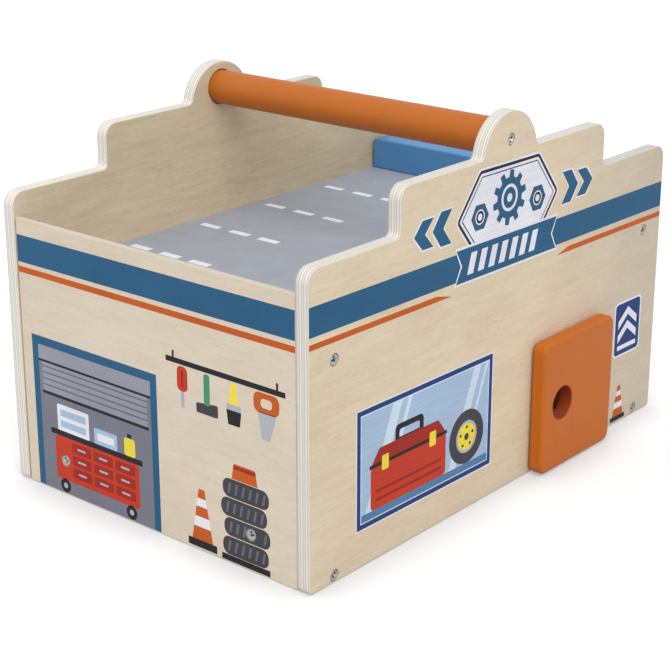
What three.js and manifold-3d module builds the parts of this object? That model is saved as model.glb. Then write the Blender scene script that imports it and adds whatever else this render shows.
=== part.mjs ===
// Toy parking garage: a plywood case with a carrying handle, a roof deck, a hand lift and a side door.
// Millimetres, +Z up. The origin is on the underside, midway between the side panels and between front and back.
import * as THREE from 'three';
import { mergeVertices } from 'three/addons/utils/BufferGeometryUtils.js';
import Module from 'manifold-3d';

const wasm = await Module();
wasm.setup();

// Case: two side panels with a stepped outline and a round ear for the handle
const caseLength = 330;
const caseWidth = 222;
const panelThick = 8;
const lowShoulderHeight = 171;
const stepHeight = 26;
const stepFromEnd = 70;
const earCentreDrop = 2.5;
const earRadius = 25;
const panelCornerRadius = 8;
const panelFootRadius = 3;
const panelFilletRadius = 3;
const panelArris = 0.6;

// Boards between the panels
const boardThick = 8;
const boardBackInset = 1;
const boardArris = 0.4;
const deckHeight = 125;
const wallHeight = 157.5;
const wallThick = 3;
const wallSetback = 0.8;
const wallEndGap = 0.6;
const wallArris = 0.4;
const battenDepth = 10;
const battenHeight = 26;
const battenEndGap = 2;
const battenArris = 0.5;
const kerbThick = 14;
const kerbHeight = 20.5;
const kerbEndGap = 1.2;
const kerbBackInset = 4.7;
const kerbCornerRadius = 3;
const kerbRound = 1;

// Carrying handle: a dowel seated in blind sockets in the ears
const handleDiameter = 20.5;
const handleBelowTop = 15.5;
const socketDepth = 3;
const socketClearance = 0.3;
const handleArris = 0.5;

// Countersunk cross-head screws
const screwHeadRadius = 3.1;
const screwHeadHeight = 2;
const screwShankRadius = 1.5;
const screwTipHeight = 1.2;
const screwSink = 0.3;
const screwClearance = 0.3;
const crossLength = 3.8;
const crossWidth = 1.1;
const crossDepth = 1.1;
const sideScrewLength = 20;
const sideScrewFromEnd = 19.4;
const wallScrewLength = 11;
const wallScrewFromPanel = 32;
const kerbScrewLength = 16;
const kerbScrewFromPanel = 43;

// Side door over the doorway of the right panel
const doorWidth = 74;
const doorHeight = 80;
const doorThick = 9;
const doorFromBack = 64.4;
const doorGap = 1;
const doorFootGap = 0.8;
const doorCornerRadius = 5.5;
const doorRound = 1.5;
const doorHoleRadius = 10;
const doorHoleFromEdge = 20.5;
const doorHoleRound = 1;
const doorLap = 8.3;
const doorwayRadius = 6;

// Butt hinge at the back edge of the door
const hingeHeight = 40;
const barrelRadius = 2;
const pinRadius = 1;
const pinClearance = 0.3;
const knuckleGap = 0.3;
const middleKnuckleShare = 1 / 3;
const pinOverhang = 0.6;
const fixedLeafReach = 12.4;
const doorLeafReach = 7;
const hingeScrewHeadRadius = 1.6;
const hingeScrewHeadHeight = 0.7;
const hingeScrewShankRadius = 0.9;
const hingeScrewLength = 6;
const hingeScrewClearance = 0.3;
const hingeScrewFromMiddle = 13;
const fixedScrewFromAxis = 8.4;
const doorScrewFromAxis = 4.6;

// Lift: a board that slides between two rails on the right panel and carries a platform
const liftBoardThick = 6;
const liftBodyWidth = 70;
const liftFootLug = 7;
const liftFootHeight = 32;
const liftArchWidth = 52;
const liftArchHeight = 66;
const liftArchRadius = 6;
const liftCornerRadius = 10;
const liftHoleRadius = 9;
const liftHoleFromTop = 16;
const liftArris = 0.5;
const liftRunning = 0.7;
const liftSideGap = 0.6;
const liftRestGap = 0.3;
const platformLength = 70;
const platformWidth = 63;
const platformThick = 6;
const platformArris = 0.5;
const tongueGap = 0.5;
const gussetReach = 26;
const gussetNose = 4;
const gussetThick = 5;
const railWidth = 6.5;
const coverThick = 3.5;
const coverLap = 5;
const coverArris = 0.4;
const stopHeight = 9;
const stopClearance = 0.3;
const notchGap = 1;
const railNotchGap = 0.4;

// Facets and the overrun of a cutter past the face that it cuts
const arcSegments = 4;
const roundSegments = 32;
const roundSteps = 3;
const earArcs = 4;
const screwSegments = 16;
const barrelSegments = 16;
const overrun = 1;

// Places that follow from the sizes above
const outerX = caseWidth / 2;
const innerX = outerX - panelThick;
const highShoulderHeight = lowShoulderHeight + stepHeight;
const earCentreHeight = highShoulderHeight - earCentreDrop;
const handleHeight = earCentreHeight + earRadius - handleBelowTop;
const boardsFront = wallSetback + wallThick;
const boardsLength = caseLength - boardBackInset - boardsFront;
const doorBack = caseLength - doorFromBack;
const doorFront = doorBack - doorWidth;
const doorMiddleHeight = doorFootGap + doorHeight / 2;
const hingeX = outerX + barrelRadius;
const hingeY = doorBack + barrelRadius;
const leafThick = barrelRadius - pinRadius - pinClearance;
const doorwayFront = doorFront + doorLap;
const doorwayBack = doorBack - doorLap;
const doorwayTop = doorFootGap + doorHeight - doorLap;
const liftY = (doorwayFront + doorwayBack) / 2;
const liftBottom = boardThick + liftRestGap;
const liftTravel = deckHeight - liftBottom - platformThick;
const stopBottom = liftBottom + liftFootHeight + liftTravel + stopClearance;
const railTop = stopBottom + stopHeight;
const railHeight = railTop - boardThick;
const liftBoardHeight = railTop - liftBottom;
const channelDepth = liftBoardThick + liftRunning + liftRunning;
const liftBoardX = innerX - liftRunning - liftBoardThick;
const footHalf = liftBodyWidth / 2 + liftFootLug;
const railInner = footHalf + liftSideGap;
const coverX = innerX - channelDepth - coverThick;

const plywood = new THREE.MeshStandardMaterial({ color: 0xdccbaa, roughness: 0.6, metalness: 0 });
const orangePaint = new THREE.MeshStandardMaterial({ color: 0xd8722f, roughness: 0.45, metalness: 0 });
const bluePaint = new THREE.MeshStandardMaterial({ color: 0x467bab, roughness: 0.45, metalness: 0 });
const greyPaint = new THREE.MeshStandardMaterial({ color: 0xa3a6ae, roughness: 0.55, metalness: 0 });
const steel = new THREE.MeshStandardMaterial({ color: 0xb9bbbd, roughness: 0.35, metalness: 1 });

// Directions for a profile: its x, its y and its thickness in the case's frame
const alongY = new THREE.Matrix4().makeBasis(
  new THREE.Vector3(0, 1, 0),
  new THREE.Vector3(0, 0, 1),
  new THREE.Vector3(1, 0, 0),
);
const alongX = new THREE.Matrix4().makeBasis(
  new THREE.Vector3(1, 0, 0),
  new THREE.Vector3(0, 0, 1),
  new THREE.Vector3(0, -1, 0),
);

function toSolid(geometry) {
  const bare = geometry.clone();
  bare.deleteAttribute('normal');
  bare.deleteAttribute('uv');
  const merged = mergeVertices(bare);
  return new wasm.Manifold(new wasm.Mesh({
    numProp: 3,
    vertProperties: new Float32Array(merged.attributes.position.array),
    triVerts: new Uint32Array(merged.index.array),
  }));
}

function toGeometry(solid) {
  const mesh = solid.getMesh();
  const geometry = new THREE.BufferGeometry();
  geometry.setAttribute('position', new THREE.BufferAttribute(new Float32Array(mesh.vertProperties), 3));
  geometry.setIndex(new THREE.BufferAttribute(new Uint32Array(mesh.triVerts), 1));
  geometry.computeVertexNormals();
  return geometry;
}

function cut(geometry, cutters) {
  let solid = toSolid(geometry);
  for (const cutter of cutters) {
    solid = solid.subtract(toSolid(cutter));
  }
  return toGeometry(solid);
}

function join(first, others) {
  let solid = toSolid(first);
  for (const other of others) {
    solid = solid.add(toSolid(other));
  }
  return toGeometry(solid);
}

// Adds the arc that rounds corner p between the points before and after it
function addRoundedCorner(path, before, p, after, radius) {
  const u = before.clone().sub(p).normalize();
  const v = after.clone().sub(p).normalize();
  const half = Math.acos(THREE.MathUtils.clamp(u.dot(v), -1, 1)) / 2;
  const reach = radius / Math.tan(half);
  const start = p.clone().addScaledVector(u, reach);
  const end = p.clone().addScaledVector(v, reach);
  const centre = p.clone().addScaledVector(u.clone().add(v).normalize(), radius / Math.sin(half));
  const clockwise = u.cross(v) > 0;
  const from = Math.atan2(start.y - centre.y, start.x - centre.x);
  const to = Math.atan2(end.y - centre.y, end.x - centre.x);
  path.absarc(centre.x, centre.y, radius, from, to, clockwise);
}

// Outline from corners [x, y, radius], run anticlockwise
function roundedOutline(corners) {
  const path = new THREE.Shape();
  const points = corners.map(([x, y]) => new THREE.Vector2(x, y));
  corners.forEach(([x, y, radius], i) => {
    const before = points[(i + points.length - 1) % points.length];
    const after = points[(i + 1) % points.length];
    if (radius) {
      addRoundedCorner(path, before, points[i], after, radius);
    } else if (i === 0) {
      path.moveTo(x, y);
    } else {
      path.lineTo(x, y);
    }
  });
  path.closePath();
  return path;
}

function rectangle(x0, y0, x1, y1, radius = 0) {
  return [[x0, y0, radius], [x1, y0, radius], [x1, y1, radius], [x0, y1, radius]];
}

// A round hole as four quarter arcs
function roundHole(x, y, radius) {
  const path = new THREE.Path();
  for (let quarter = 0; quarter < 4; quarter += 1) {
    path.absarc(x, y, radius, quarter * Math.PI / 2, (quarter + 1) * Math.PI / 2, false);
  }
  return path;
}

// A board of the full thickness, its edges broken by a bevel that stays inside the outline
function board(shape, thick, edge, basis, steps = 1) {
  const geometry = new THREE.ExtrudeGeometry(shape, {
    depth: thick - edge - edge,
    bevelEnabled: edge > 0,
    bevelThickness: edge,
    bevelSize: edge,
    bevelOffset: -edge,
    bevelSegments: steps,
    curveSegments: arcSegments,
  });
  geometry.translate(0, 0, edge);
  if (basis) {
    geometry.applyMatrix4(basis);
  }
  return geometry;
}

// A round bar along +Z that starts at the given height
function bar(radius, length, segments, start = 0) {
  const geometry = new THREE.CylinderGeometry(radius, radius, length, segments);
  geometry.rotateX(Math.PI / 2);
  geometry.translate(0, 0, start + length / 2);
  return geometry;
}

// Turns a piece that points along +Z so that it points along direction, and moves it to place
function aim(geometry, direction, place) {
  const turn = new THREE.Quaternion().setFromUnitVectors(new THREE.Vector3(0, 0, 1), direction);
  geometry.applyQuaternion(turn);
  geometry.translate(place.x, place.y, place.z);
  return geometry;
}

// Screw body with its head's face at z = 0 and its shank below
function screwProfile(headRadius, headHeight, shankRadius, length, tipHeight) {
  return [
    new THREE.Vector2(0, -length),
    new THREE.Vector2(shankRadius, tipHeight - length),
    new THREE.Vector2(shankRadius, -headHeight),
    new THREE.Vector2(headRadius, 0),
    new THREE.Vector2(0, 0),
  ];
}

function woodScrew(length) {
  const profile = screwProfile(screwHeadRadius, screwHeadHeight, screwShankRadius, length, screwTipHeight);
  const body = new THREE.LatheGeometry(profile, screwSegments);
  body.rotateX(Math.PI / 2);
  const arm = new THREE.BoxGeometry(crossLength, crossWidth, crossDepth + overrun);
  arm.translate(0, 0, (overrun - crossDepth) / 2);
  const otherArm = arm.clone().rotateZ(Math.PI / 2);
  return cut(body, [arm, otherArm]);
}

// The countersunk hole that a wood screw sits in, its mouth past the wood's face
function woodScrewHole(length) {
  const headRadius = screwHeadRadius + screwClearance;
  const shankRadius = screwShankRadius + screwClearance;
  const profile = [
    new THREE.Vector2(0, -screwSink - length - screwClearance),
    new THREE.Vector2(shankRadius, -screwSink - length - screwClearance),
    new THREE.Vector2(shankRadius, -screwSink - screwHeadHeight - screwClearance),
    new THREE.Vector2(headRadius, -screwSink - screwClearance),
    new THREE.Vector2(headRadius, overrun),
    new THREE.Vector2(0, overrun),
  ];
  const hole = new THREE.LatheGeometry(profile, screwSegments);
  hole.rotateX(Math.PI / 2);
  return hole;
}

const root = new THREE.Group();
const garage = new THREE.Group();
garage.position.y = -caseLength / 2;
root.add(garage);

function addPiece(name, geometry, material, place = new THREE.Vector3(), group = garage) {
  const mesh = new THREE.Mesh(geometry, material);
  mesh.name = name;
  mesh.position.copy(place);
  group.add(mesh);
  return mesh;
}

// Each wood screw: its name, the place of its mouth on the wood's face, the way its head faces and its length
const right = new THREE.Vector3(1, 0, 0);
const left = new THREE.Vector3(-1, 0, 0);
const forward = new THREE.Vector3(0, -1, 0);
const down = new THREE.Vector3(0, 0, -1);
const deckScrewHeight = deckHeight - boardThick / 2;
const baseScrewHeight = boardThick / 2;
const wallScrewHeight = boardThick + battenHeight / 2;
const screwBack = caseLength - sideScrewFromEnd;
const woodScrews = [];
for (const [side, x, way] of [['right', outerX, right], ['left', -outerX, left]]) {
  for (const [end, y] of [['front', sideScrewFromEnd], ['back', screwBack]]) {
    woodScrews.push([`deck_screw_${side}_${end}`, new THREE.Vector3(x, y, deckScrewHeight), way, sideScrewLength]);
    woodScrews.push([`base_screw_${side}_${end}`, new THREE.Vector3(x, y, baseScrewHeight), way, sideScrewLength]);
  }
  const ear = new THREE.Vector3(x, caseLength / 2, handleHeight);
  woodScrews.push([`handle_screw_${side}`, ear, way, sideScrewLength]);
}
const wallScrewX = innerX - wallScrewFromPanel;
for (const [side, x] of [['right', wallScrewX], ['left', -wallScrewX]]) {
  const onWall = new THREE.Vector3(x, wallSetback, wallScrewHeight);
  woodScrews.push([`wall_screw_${side}`, onWall, forward, wallScrewLength]);
}
const kerbY = caseLength - kerbBackInset - kerbThick;
const kerbScrewX = innerX - kerbScrewFromPanel;
for (const [side, x] of [['right', kerbScrewX], ['left', -kerbScrewX]]) {
  const underDeck = new THREE.Vector3(x, kerbY + kerbThick / 2, deckHeight - boardThick);
  woodScrews.push([`kerb_screw_${side}`, underDeck, down, kerbScrewLength]);
}

// The screw holes of a board that starts at place, for the screws whose names begin with the given words
function holesFor(place, ...words) {
  const chosen = woodScrews.filter(([name]) => words.some((word) => name.startsWith(word)));
  return chosen.map(([, mouth, way, length]) => aim(woodScrewHole(length), way, mouth.clone().sub(place)));
}

// Small screws of the hinge: pan heads on the leaf, shanks in the wood
function hingeScrew() {
  const shank = bar(hingeScrewShankRadius, hingeScrewLength + overrun / 2, screwSegments, -hingeScrewLength);
  const head = bar(hingeScrewHeadRadius, hingeScrewHeadHeight, screwSegments);
  return join(head, [shank]);
}

function hingeScrewHole() {
  const depth = hingeScrewLength + hingeScrewClearance;
  return bar(hingeScrewShankRadius + hingeScrewClearance, depth + overrun, screwSegments, -depth);
}

const hingeScrewHeights = [doorMiddleHeight - hingeScrewFromMiddle, doorMiddleHeight + hingeScrewFromMiddle];
const fixedScrewX = outerX + leafThick;
const fixedScrewY = hingeY + fixedScrewFromAxis;
const doorScrewX = hingeX + doorScrewFromAxis;
const doorScrewY = doorBack + leafThick;

// Adds the round ear and the fillets at its feet, run from back to front
function addEar(shape) {
  const middle = caseLength / 2;
  const filletHeight = highShoulderHeight + panelFilletRadius;
  const rise = filletHeight - earCentreHeight;
  const run = Math.sqrt((earRadius + panelFilletRadius) ** 2 - rise ** 2);
  const foot = Math.atan2(rise, run);
  const sweep = Math.PI - foot - foot;
  shape.absarc(middle + run, filletHeight, panelFilletRadius, -Math.PI / 2, foot - Math.PI, true);
  for (let part = 0; part < earArcs; part += 1) {
    const from = foot + sweep * part / earArcs;
    shape.absarc(middle, earCentreHeight, earRadius, from, from + sweep / earArcs, false);
  }
  shape.absarc(middle - run, filletHeight, panelFilletRadius, -foot, -Math.PI / 2, true);
}

// Stepped outline of a side panel, from its front bottom corner
function panelOutline() {
  const stepBack = caseLength - stepFromEnd;
  const beforeEar = [
    [0, 0, panelFootRadius],
    [caseLength, 0, panelFootRadius],
    [caseLength, lowShoulderHeight, panelCornerRadius],
    [stepBack, lowShoulderHeight, panelFilletRadius],
    [stepBack, highShoulderHeight, panelCornerRadius],
  ];
  const afterEar = [
    [stepFromEnd, highShoulderHeight, panelCornerRadius],
    [stepFromEnd, lowShoulderHeight, panelFilletRadius],
    [0, lowShoulderHeight, panelCornerRadius],
  ];
  const corners = [...beforeEar, ...afterEar];
  const points = corners.map(([x, y]) => new THREE.Vector2(x, y));
  const shape = new THREE.Shape();
  corners.forEach(([, , radius], i) => {
    const before = points[(i + points.length - 1) % points.length];
    const after = points[(i + 1) % points.length];
    addRoundedCorner(shape, before, points[i], after, radius);
    if (i === beforeEar.length - 1) {
      addEar(shape);
    }
  });
  shape.closePath();
  return shape;
}

function sidePanel(x, socketStart, extraCutters, words) {
  const place = new THREE.Vector3(x, 0, 0);
  const socket = bar(handleDiameter / 2 + socketClearance, socketDepth + overrun, roundSegments);
  aim(socket, right, new THREE.Vector3(socketStart, caseLength / 2, handleHeight));
  const blank = board(panelOutline(), panelThick, panelArris, alongY);
  return [cut(blank, [socket, ...extraCutters, ...holesFor(place, ...words)]), place];
}

function makePanels() {
  const doorway = roundedOutline([
    [doorwayFront, boardThick, 0],
    [doorwayBack, boardThick, 0],
    [doorwayBack, doorwayTop, doorwayRadius],
    [doorwayFront, doorwayTop, doorwayRadius],
  ]);
  const doorwayCutter = board(doorway, panelThick + overrun + overrun, 0, alongY).translate(-overrun, 0, 0);
  const hingeHoles = hingeScrewHeights.map((z) => (
    aim(hingeScrewHole(), right, new THREE.Vector3(fixedScrewX - innerX, fixedScrewY, z))
  ));
  const rightWords = ['deck_screw_right', 'base_screw_right', 'handle_screw_right'];
  const rightCuts = [doorwayCutter, ...hingeHoles];
  const [rightPanel, rightPlace] = sidePanel(innerX, -overrun, rightCuts, rightWords);
  addPiece('side_panel_right', rightPanel, plywood, rightPlace);
  const leftWords = ['deck_screw_left', 'base_screw_left', 'handle_screw_left'];
  const [leftPanel, leftPlace] = sidePanel(-outerX, panelThick - socketDepth, [], leftWords);
  addPiece('side_panel_left', leftPanel, plywood, leftPlace);
}

// The base board and the roof deck, the deck notched for the lift and its rails
function makeBoards() {
  const basePlace = new THREE.Vector3(0, boardsFront, 0);
  const baseShape = roundedOutline(rectangle(-innerX, 0, innerX, boardsLength));
  const base = board(baseShape, boardThick, boardArris);
  addPiece('base_board', cut(base, holesFor(basePlace, 'base_screw')), plywood, basePlace);

  const deckPlace = new THREE.Vector3(0, boardsFront, deckHeight - boardThick);
  const y = liftY - boardsFront;
  const platformHalf = platformWidth / 2 + notchGap;
  const railHalf = railInner + railWidth + railNotchGap;
  const notchX = liftBoardX - platformLength - notchGap;
  const railNotchX = coverX - railNotchGap;
  const deckShape = roundedOutline([
    [-innerX, 0, 0],
    [innerX, 0, 0],
    [innerX, y - railHalf, 0],
    [railNotchX, y - railHalf, 0],
    [railNotchX, y - platformHalf, 0],
    [notchX, y - platformHalf, 0],
    [notchX, y + platformHalf, 0],
    [railNotchX, y + platformHalf, 0],
    [railNotchX, y + railHalf, 0],
    [innerX, y + railHalf, 0],
    [innerX, boardsLength, 0],
    [-innerX, boardsLength, 0],
  ]);
  const deck = board(deckShape, boardThick, boardArris);
  addPiece('roof_deck', cut(deck, holesFor(deckPlace, 'deck_screw', 'kerb_screw')), greyPaint, deckPlace);
}

// The thin front wall with the batten behind its foot
function makeFront() {
  const halfWall = innerX - wallEndGap;
  const wallPlace = new THREE.Vector3(0, boardsFront, 0);
  const wall = board(roundedOutline(rectangle(-halfWall, 0, halfWall, wallHeight)), wallThick, wallArris, alongX);
  addPiece('front_wall', cut(wall, holesFor(wallPlace, 'wall_screw')), plywood, wallPlace);

  const halfBatten = innerX - battenEndGap;
  const battenPlace = new THREE.Vector3(0, boardsFront + battenDepth, boardThick);
  const battenShape = roundedOutline(rectangle(-halfBatten, 0, halfBatten, battenHeight));
  const batten = board(battenShape, battenDepth, battenArris, alongX);
  addPiece('front_batten', cut(batten, holesFor(battenPlace, 'wall_screw')), plywood, battenPlace);
}

// The painted kerb that closes the back of the roof deck
function makeKerb() {
  const halfKerb = innerX - kerbEndGap;
  const place = new THREE.Vector3(0, kerbY + kerbThick, deckHeight);
  const shape = roundedOutline([
    [-halfKerb, 0, 0],
    [halfKerb, 0, 0],
    [halfKerb, kerbHeight, kerbCornerRadius],
    [-halfKerb, kerbHeight, kerbCornerRadius],
  ]);
  const kerb = board(shape, kerbThick, kerbRound, alongX, roundSteps);
  addPiece('rear_kerb', cut(kerb, holesFor(place, 'kerb_screw')), bluePaint, place);
}

function makeHandle() {
  const half = innerX + socketDepth - socketClearance;
  const radius = handleDiameter / 2;
  const profile = [
    new THREE.Vector2(0, -half),
    new THREE.Vector2(radius - handleArris, -half),
    new THREE.Vector2(radius, handleArris - half),
    new THREE.Vector2(radius, half - handleArris),
    new THREE.Vector2(radius - handleArris, half),
    new THREE.Vector2(0, half),
  ];
  const dowel = new THREE.LatheGeometry(profile, roundSegments).rotateZ(-Math.PI / 2);
  const place = new THREE.Vector3(0, caseLength / 2, handleHeight);
  addPiece('carry_handle', cut(dowel, holesFor(place, 'handle_screw')), orangePaint, place);
}

function makeWoodScrews() {
  for (const [name, mouth, way, length] of woodScrews) {
    const mesh = addPiece(name, woodScrew(length), steel, mouth.clone().addScaledVector(way, -screwSink));
    mesh.quaternion.setFromUnitVectors(new THREE.Vector3(0, 0, 1), way);
  }
}

// The door swings on the hinge axis, which is its group's origin
function makeDoor() {
  const axis = new THREE.Group();
  axis.position.set(hingeX, hingeY, 0);
  garage.add(axis);
  const shape = roundedOutline(rectangle(0, 0, doorWidth, doorHeight, doorCornerRadius));
  const slab = board(shape, doorThick, doorRound, alongY, roundSteps);
  const holeDepth = doorThick + overrun + overrun;
  const mouth = doorHoleRadius + doorHoleRound;
  const profile = [
    new THREE.Vector2(0, -overrun),
    new THREE.Vector2(mouth + overrun, -overrun),
    new THREE.Vector2(doorHoleRadius, doorHoleRound),
    new THREE.Vector2(doorHoleRadius, doorThick - doorHoleRound),
    new THREE.Vector2(mouth + overrun, holeDepth - overrun),
    new THREE.Vector2(0, holeDepth - overrun),
  ];
  const hole = new THREE.LatheGeometry(profile, roundSegments).rotateX(Math.PI / 2);
  aim(hole, right, new THREE.Vector3(0, doorHoleFromEdge, doorHeight / 2));
  const place = new THREE.Vector3(outerX + doorGap, doorFront, doorFootGap);
  const holes = hingeScrewHeights.map((z) => (
    aim(hingeScrewHole(), new THREE.Vector3(0, 1, 0), new THREE.Vector3(doorScrewX, doorScrewY, z).sub(place))
  ));
  const local = place.clone().sub(axis.position);
  addPiece('side_door', cut(slab, [hole, ...holes]), orangePaint, local, axis);
  return axis;
}

// A hinge leaf: its plate lies along +X on the barrel's -Y side, its knuckles at the given heights
function hingeLeaf(reach, knuckles, screwFromAxis) {
  const half = hingeHeight / 2;
  const plateStart = barrelRadius + knuckleGap;
  const shape = roundedOutline(rectangle(plateStart, -half, reach, half));
  for (const z of [-hingeScrewFromMiddle, hingeScrewFromMiddle]) {
    shape.holes.push(roundHole(screwFromAxis, z, hingeScrewShankRadius + hingeScrewClearance));
  }
  const plate = board(shape, leafThick, 0, alongX).translate(0, leafThick - barrelRadius, 0);
  const pieces = [];
  for (const [from, to] of knuckles) {
    const ring = new THREE.Shape();
    ring.absarc(0, 0, barrelRadius, 0, Math.PI * 2, false);
    const bore = new THREE.Path();
    bore.absarc(0, 0, pinRadius + pinClearance, 0, Math.PI * 2, false);
    const tab = new THREE.BoxGeometry(plateStart + overrun, leafThick, to - from);
    tab.translate((plateStart + overrun) / 2, leafThick / 2 - barrelRadius, (from + to) / 2);
    const tube = new THREE.ExtrudeGeometry(ring, {
      depth: to - from,
      bevelEnabled: false,
      curveSegments: barrelSegments / 2,
    }).translate(0, 0, from);
    const hollow = new THREE.ExtrudeGeometry(new THREE.Shape(bore.getPoints(barrelSegments / 2)), {
      depth: to - from + overrun + overrun,
      bevelEnabled: false,
    }).translate(0, 0, from - overrun);
    pieces.push(cut(join(tube, [tab]), [hollow]));
  }
  return join(plate, pieces);
}

function makeHinge(doorAxis) {
  const half = hingeHeight / 2;
  const middle = half * middleKnuckleShare;
  const outerKnuckles = [[-half, -middle - knuckleGap], [middle + knuckleGap, half]];
  const axisPlace = new THREE.Vector3(hingeX, hingeY, doorMiddleHeight);
  const fixedLeaf = hingeLeaf(fixedLeafReach, outerKnuckles, fixedScrewFromAxis);
  const turned = new THREE.Matrix4().makeBasis(
    new THREE.Vector3(0, 1, 0),
    new THREE.Vector3(1, 0, 0),
    new THREE.Vector3(0, 0, -1),
  );
  addPiece('hinge_leaf_panel', fixedLeaf.applyMatrix4(turned), steel, axisPlace);
  const doorLeaf = hingeLeaf(doorLeafReach, [[-middle, middle]], doorScrewFromAxis);
  addPiece('hinge_leaf_door', doorLeaf, steel, new THREE.Vector3(0, 0, doorMiddleHeight), doorAxis);
  const pin = bar(pinRadius, hingeHeight + pinOverhang, barrelSegments, -half);
  const cap = bar(barrelRadius, pinOverhang, barrelSegments, half + knuckleGap);
  addPiece('hinge_pin', join(pin, [cap]), steel, axisPlace);
  for (const [i, z] of hingeScrewHeights.entries()) {
    const level = i === 0 ? 'lower' : 'upper';
    const onPanel = new THREE.Vector3(fixedScrewX, fixedScrewY, z);
    const panelScrew = addPiece(`hinge_screw_panel_${level}`, hingeScrew(), steel, onPanel);
    panelScrew.quaternion.setFromUnitVectors(new THREE.Vector3(0, 0, 1), right);
    const onDoor = new THREE.Vector3(doorScrewX - hingeX, doorScrewY - hingeY, z);
    const doorScrew = addPiece(`hinge_screw_door_${level}`, hingeScrew(), steel, onDoor, doorAxis);
    doorScrew.quaternion.setFromUnitVectors(new THREE.Vector3(0, 0, 1), new THREE.Vector3(0, 1, 0));
  }
}

// Rails, covers and stops that guide the lift board along the right panel
function makeLiftRails() {
  for (const [end, sign] of [['front', -1], ['back', 1]]) {
    const railY = liftY + sign * (railInner + railWidth / 2);
    const rail = new THREE.BoxGeometry(channelDepth, railWidth, railHeight);
    const railPlace = new THREE.Vector3(innerX - channelDepth / 2, railY, boardThick + railHeight / 2);
    addPiece(`lift_rail_${end}`, rail, plywood, railPlace);

    const coverWidth = railWidth + liftSideGap + coverLap;
    const coverY = liftY + sign * (footHalf - coverLap + coverWidth / 2);
    const coverShape = roundedOutline(rectangle(-coverWidth / 2, 0, coverWidth / 2, railHeight));
    const cover = board(coverShape, coverThick, coverArris, alongY);
    addPiece(`lift_cover_${end}`, cover, plywood, new THREE.Vector3(coverX, coverY, boardThick));

    const stopWidth = railInner - liftBodyWidth / 2 - liftSideGap;
    const stopY = liftY + sign * (railInner - stopWidth / 2);
    const stop = new THREE.BoxGeometry(channelDepth, stopWidth, stopHeight);
    const stopPlace = new THREE.Vector3(innerX - channelDepth / 2, stopY, stopBottom + stopHeight / 2);
    addPiece(`lift_stop_${end}`, stop, plywood, stopPlace);
  }
}

// The lift's own pieces, which slide together
function makeLift() {
  const lift = new THREE.Group();
  lift.position.set(liftBoardX, liftY, liftBottom);
  garage.add(lift);
  const half = liftBodyWidth / 2;
  const arch = liftArchWidth / 2;
  const shape = roundedOutline([
    [arch, 0, 0],
    [footHalf, 0, 0],
    [footHalf, liftFootHeight, 0],
    [half, liftFootHeight, 0],
    [half, liftBoardHeight, liftCornerRadius],
    [-half, liftBoardHeight, liftCornerRadius],
    [-half, liftFootHeight, 0],
    [-footHalf, liftFootHeight, 0],
    [-footHalf, 0, 0],
    [-arch, 0, 0],
    [-arch, liftArchHeight, liftArchRadius],
    [arch, liftArchHeight, liftArchRadius],
  ]);
  shape.holes.push(roundHole(0, liftBoardHeight - liftHoleFromTop, liftHoleRadius));
  addPiece('lift_board', board(shape, liftBoardThick, liftArris, alongY), plywood, new THREE.Vector3(), lift);

  const edge = platformWidth / 2;
  const tongue = arch - tongueGap;
  const platformShape = roundedOutline([
    [-platformLength, -edge, 0],
    [0, -edge, 0],
    [0, -tongue, 0],
    [liftBoardThick, -tongue, 0],
    [liftBoardThick, tongue, 0],
    [0, tongue, 0],
    [0, edge, 0],
    [-platformLength, edge, 0],
  ]);
  addPiece('lift_platform', board(platformShape, platformThick, platformArris), greyPaint, new THREE.Vector3(), lift);

  const gussetShape = roundedOutline([
    [0, 0, 0],
    [0, gussetReach, 0],
    [-gussetNose, gussetReach, 0],
    [-gussetReach, gussetNose, 0],
    [-gussetReach, 0, 0],
  ]);
  for (const [end, y] of [['front', -edge + gussetThick], ['back', edge]]) {
    const gusset = board(gussetShape, gussetThick, 0, alongX);
    addPiece(`lift_gusset_${end}`, gusset, orangePaint, new THREE.Vector3(0, y, platformThick), lift);
  }
}

makePanels();
makeBoards();
makeFront();
makeKerb();
makeHandle();
makeWoodScrews();
const doorAxis = makeDoor();
makeHinge(doorAxis);
makeLiftRails();
makeLift();

export default root;
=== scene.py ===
import math
from collections import namedtuple

import bmesh
import bpy
from mathutils import Matrix, Vector, geometry


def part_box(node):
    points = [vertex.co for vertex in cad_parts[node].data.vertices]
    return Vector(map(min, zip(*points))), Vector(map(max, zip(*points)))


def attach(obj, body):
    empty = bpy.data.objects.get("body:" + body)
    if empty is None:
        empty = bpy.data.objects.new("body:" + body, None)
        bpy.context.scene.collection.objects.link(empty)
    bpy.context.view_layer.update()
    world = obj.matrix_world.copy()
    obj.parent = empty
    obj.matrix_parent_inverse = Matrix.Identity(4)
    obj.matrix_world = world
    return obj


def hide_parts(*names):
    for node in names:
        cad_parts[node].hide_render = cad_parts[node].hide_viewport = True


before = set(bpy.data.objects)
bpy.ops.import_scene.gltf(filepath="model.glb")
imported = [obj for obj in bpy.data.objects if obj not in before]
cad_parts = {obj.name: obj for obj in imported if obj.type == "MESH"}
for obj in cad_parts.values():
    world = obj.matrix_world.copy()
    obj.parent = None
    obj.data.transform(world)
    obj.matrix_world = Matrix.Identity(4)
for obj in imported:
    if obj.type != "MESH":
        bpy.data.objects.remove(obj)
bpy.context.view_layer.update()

# Lengths are millimetres, and MM turns them into the frame's metres
MM = 0.001
DECIMALS = 4
X = Vector((1, 0, 0))
Y = Vector((0, 1, 0))
Z = Vector((0, 0, 1))
METRES = Matrix.Scale(MM, 4)

Box = namedtuple("Box", "left front bottom right back top")


def box_of(node):
    low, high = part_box(node)
    return Box(*[round(c / MM, DECIMALS) for c in (*low, *high)])


def midway(a, b):
    return (a + b) / 2


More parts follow.
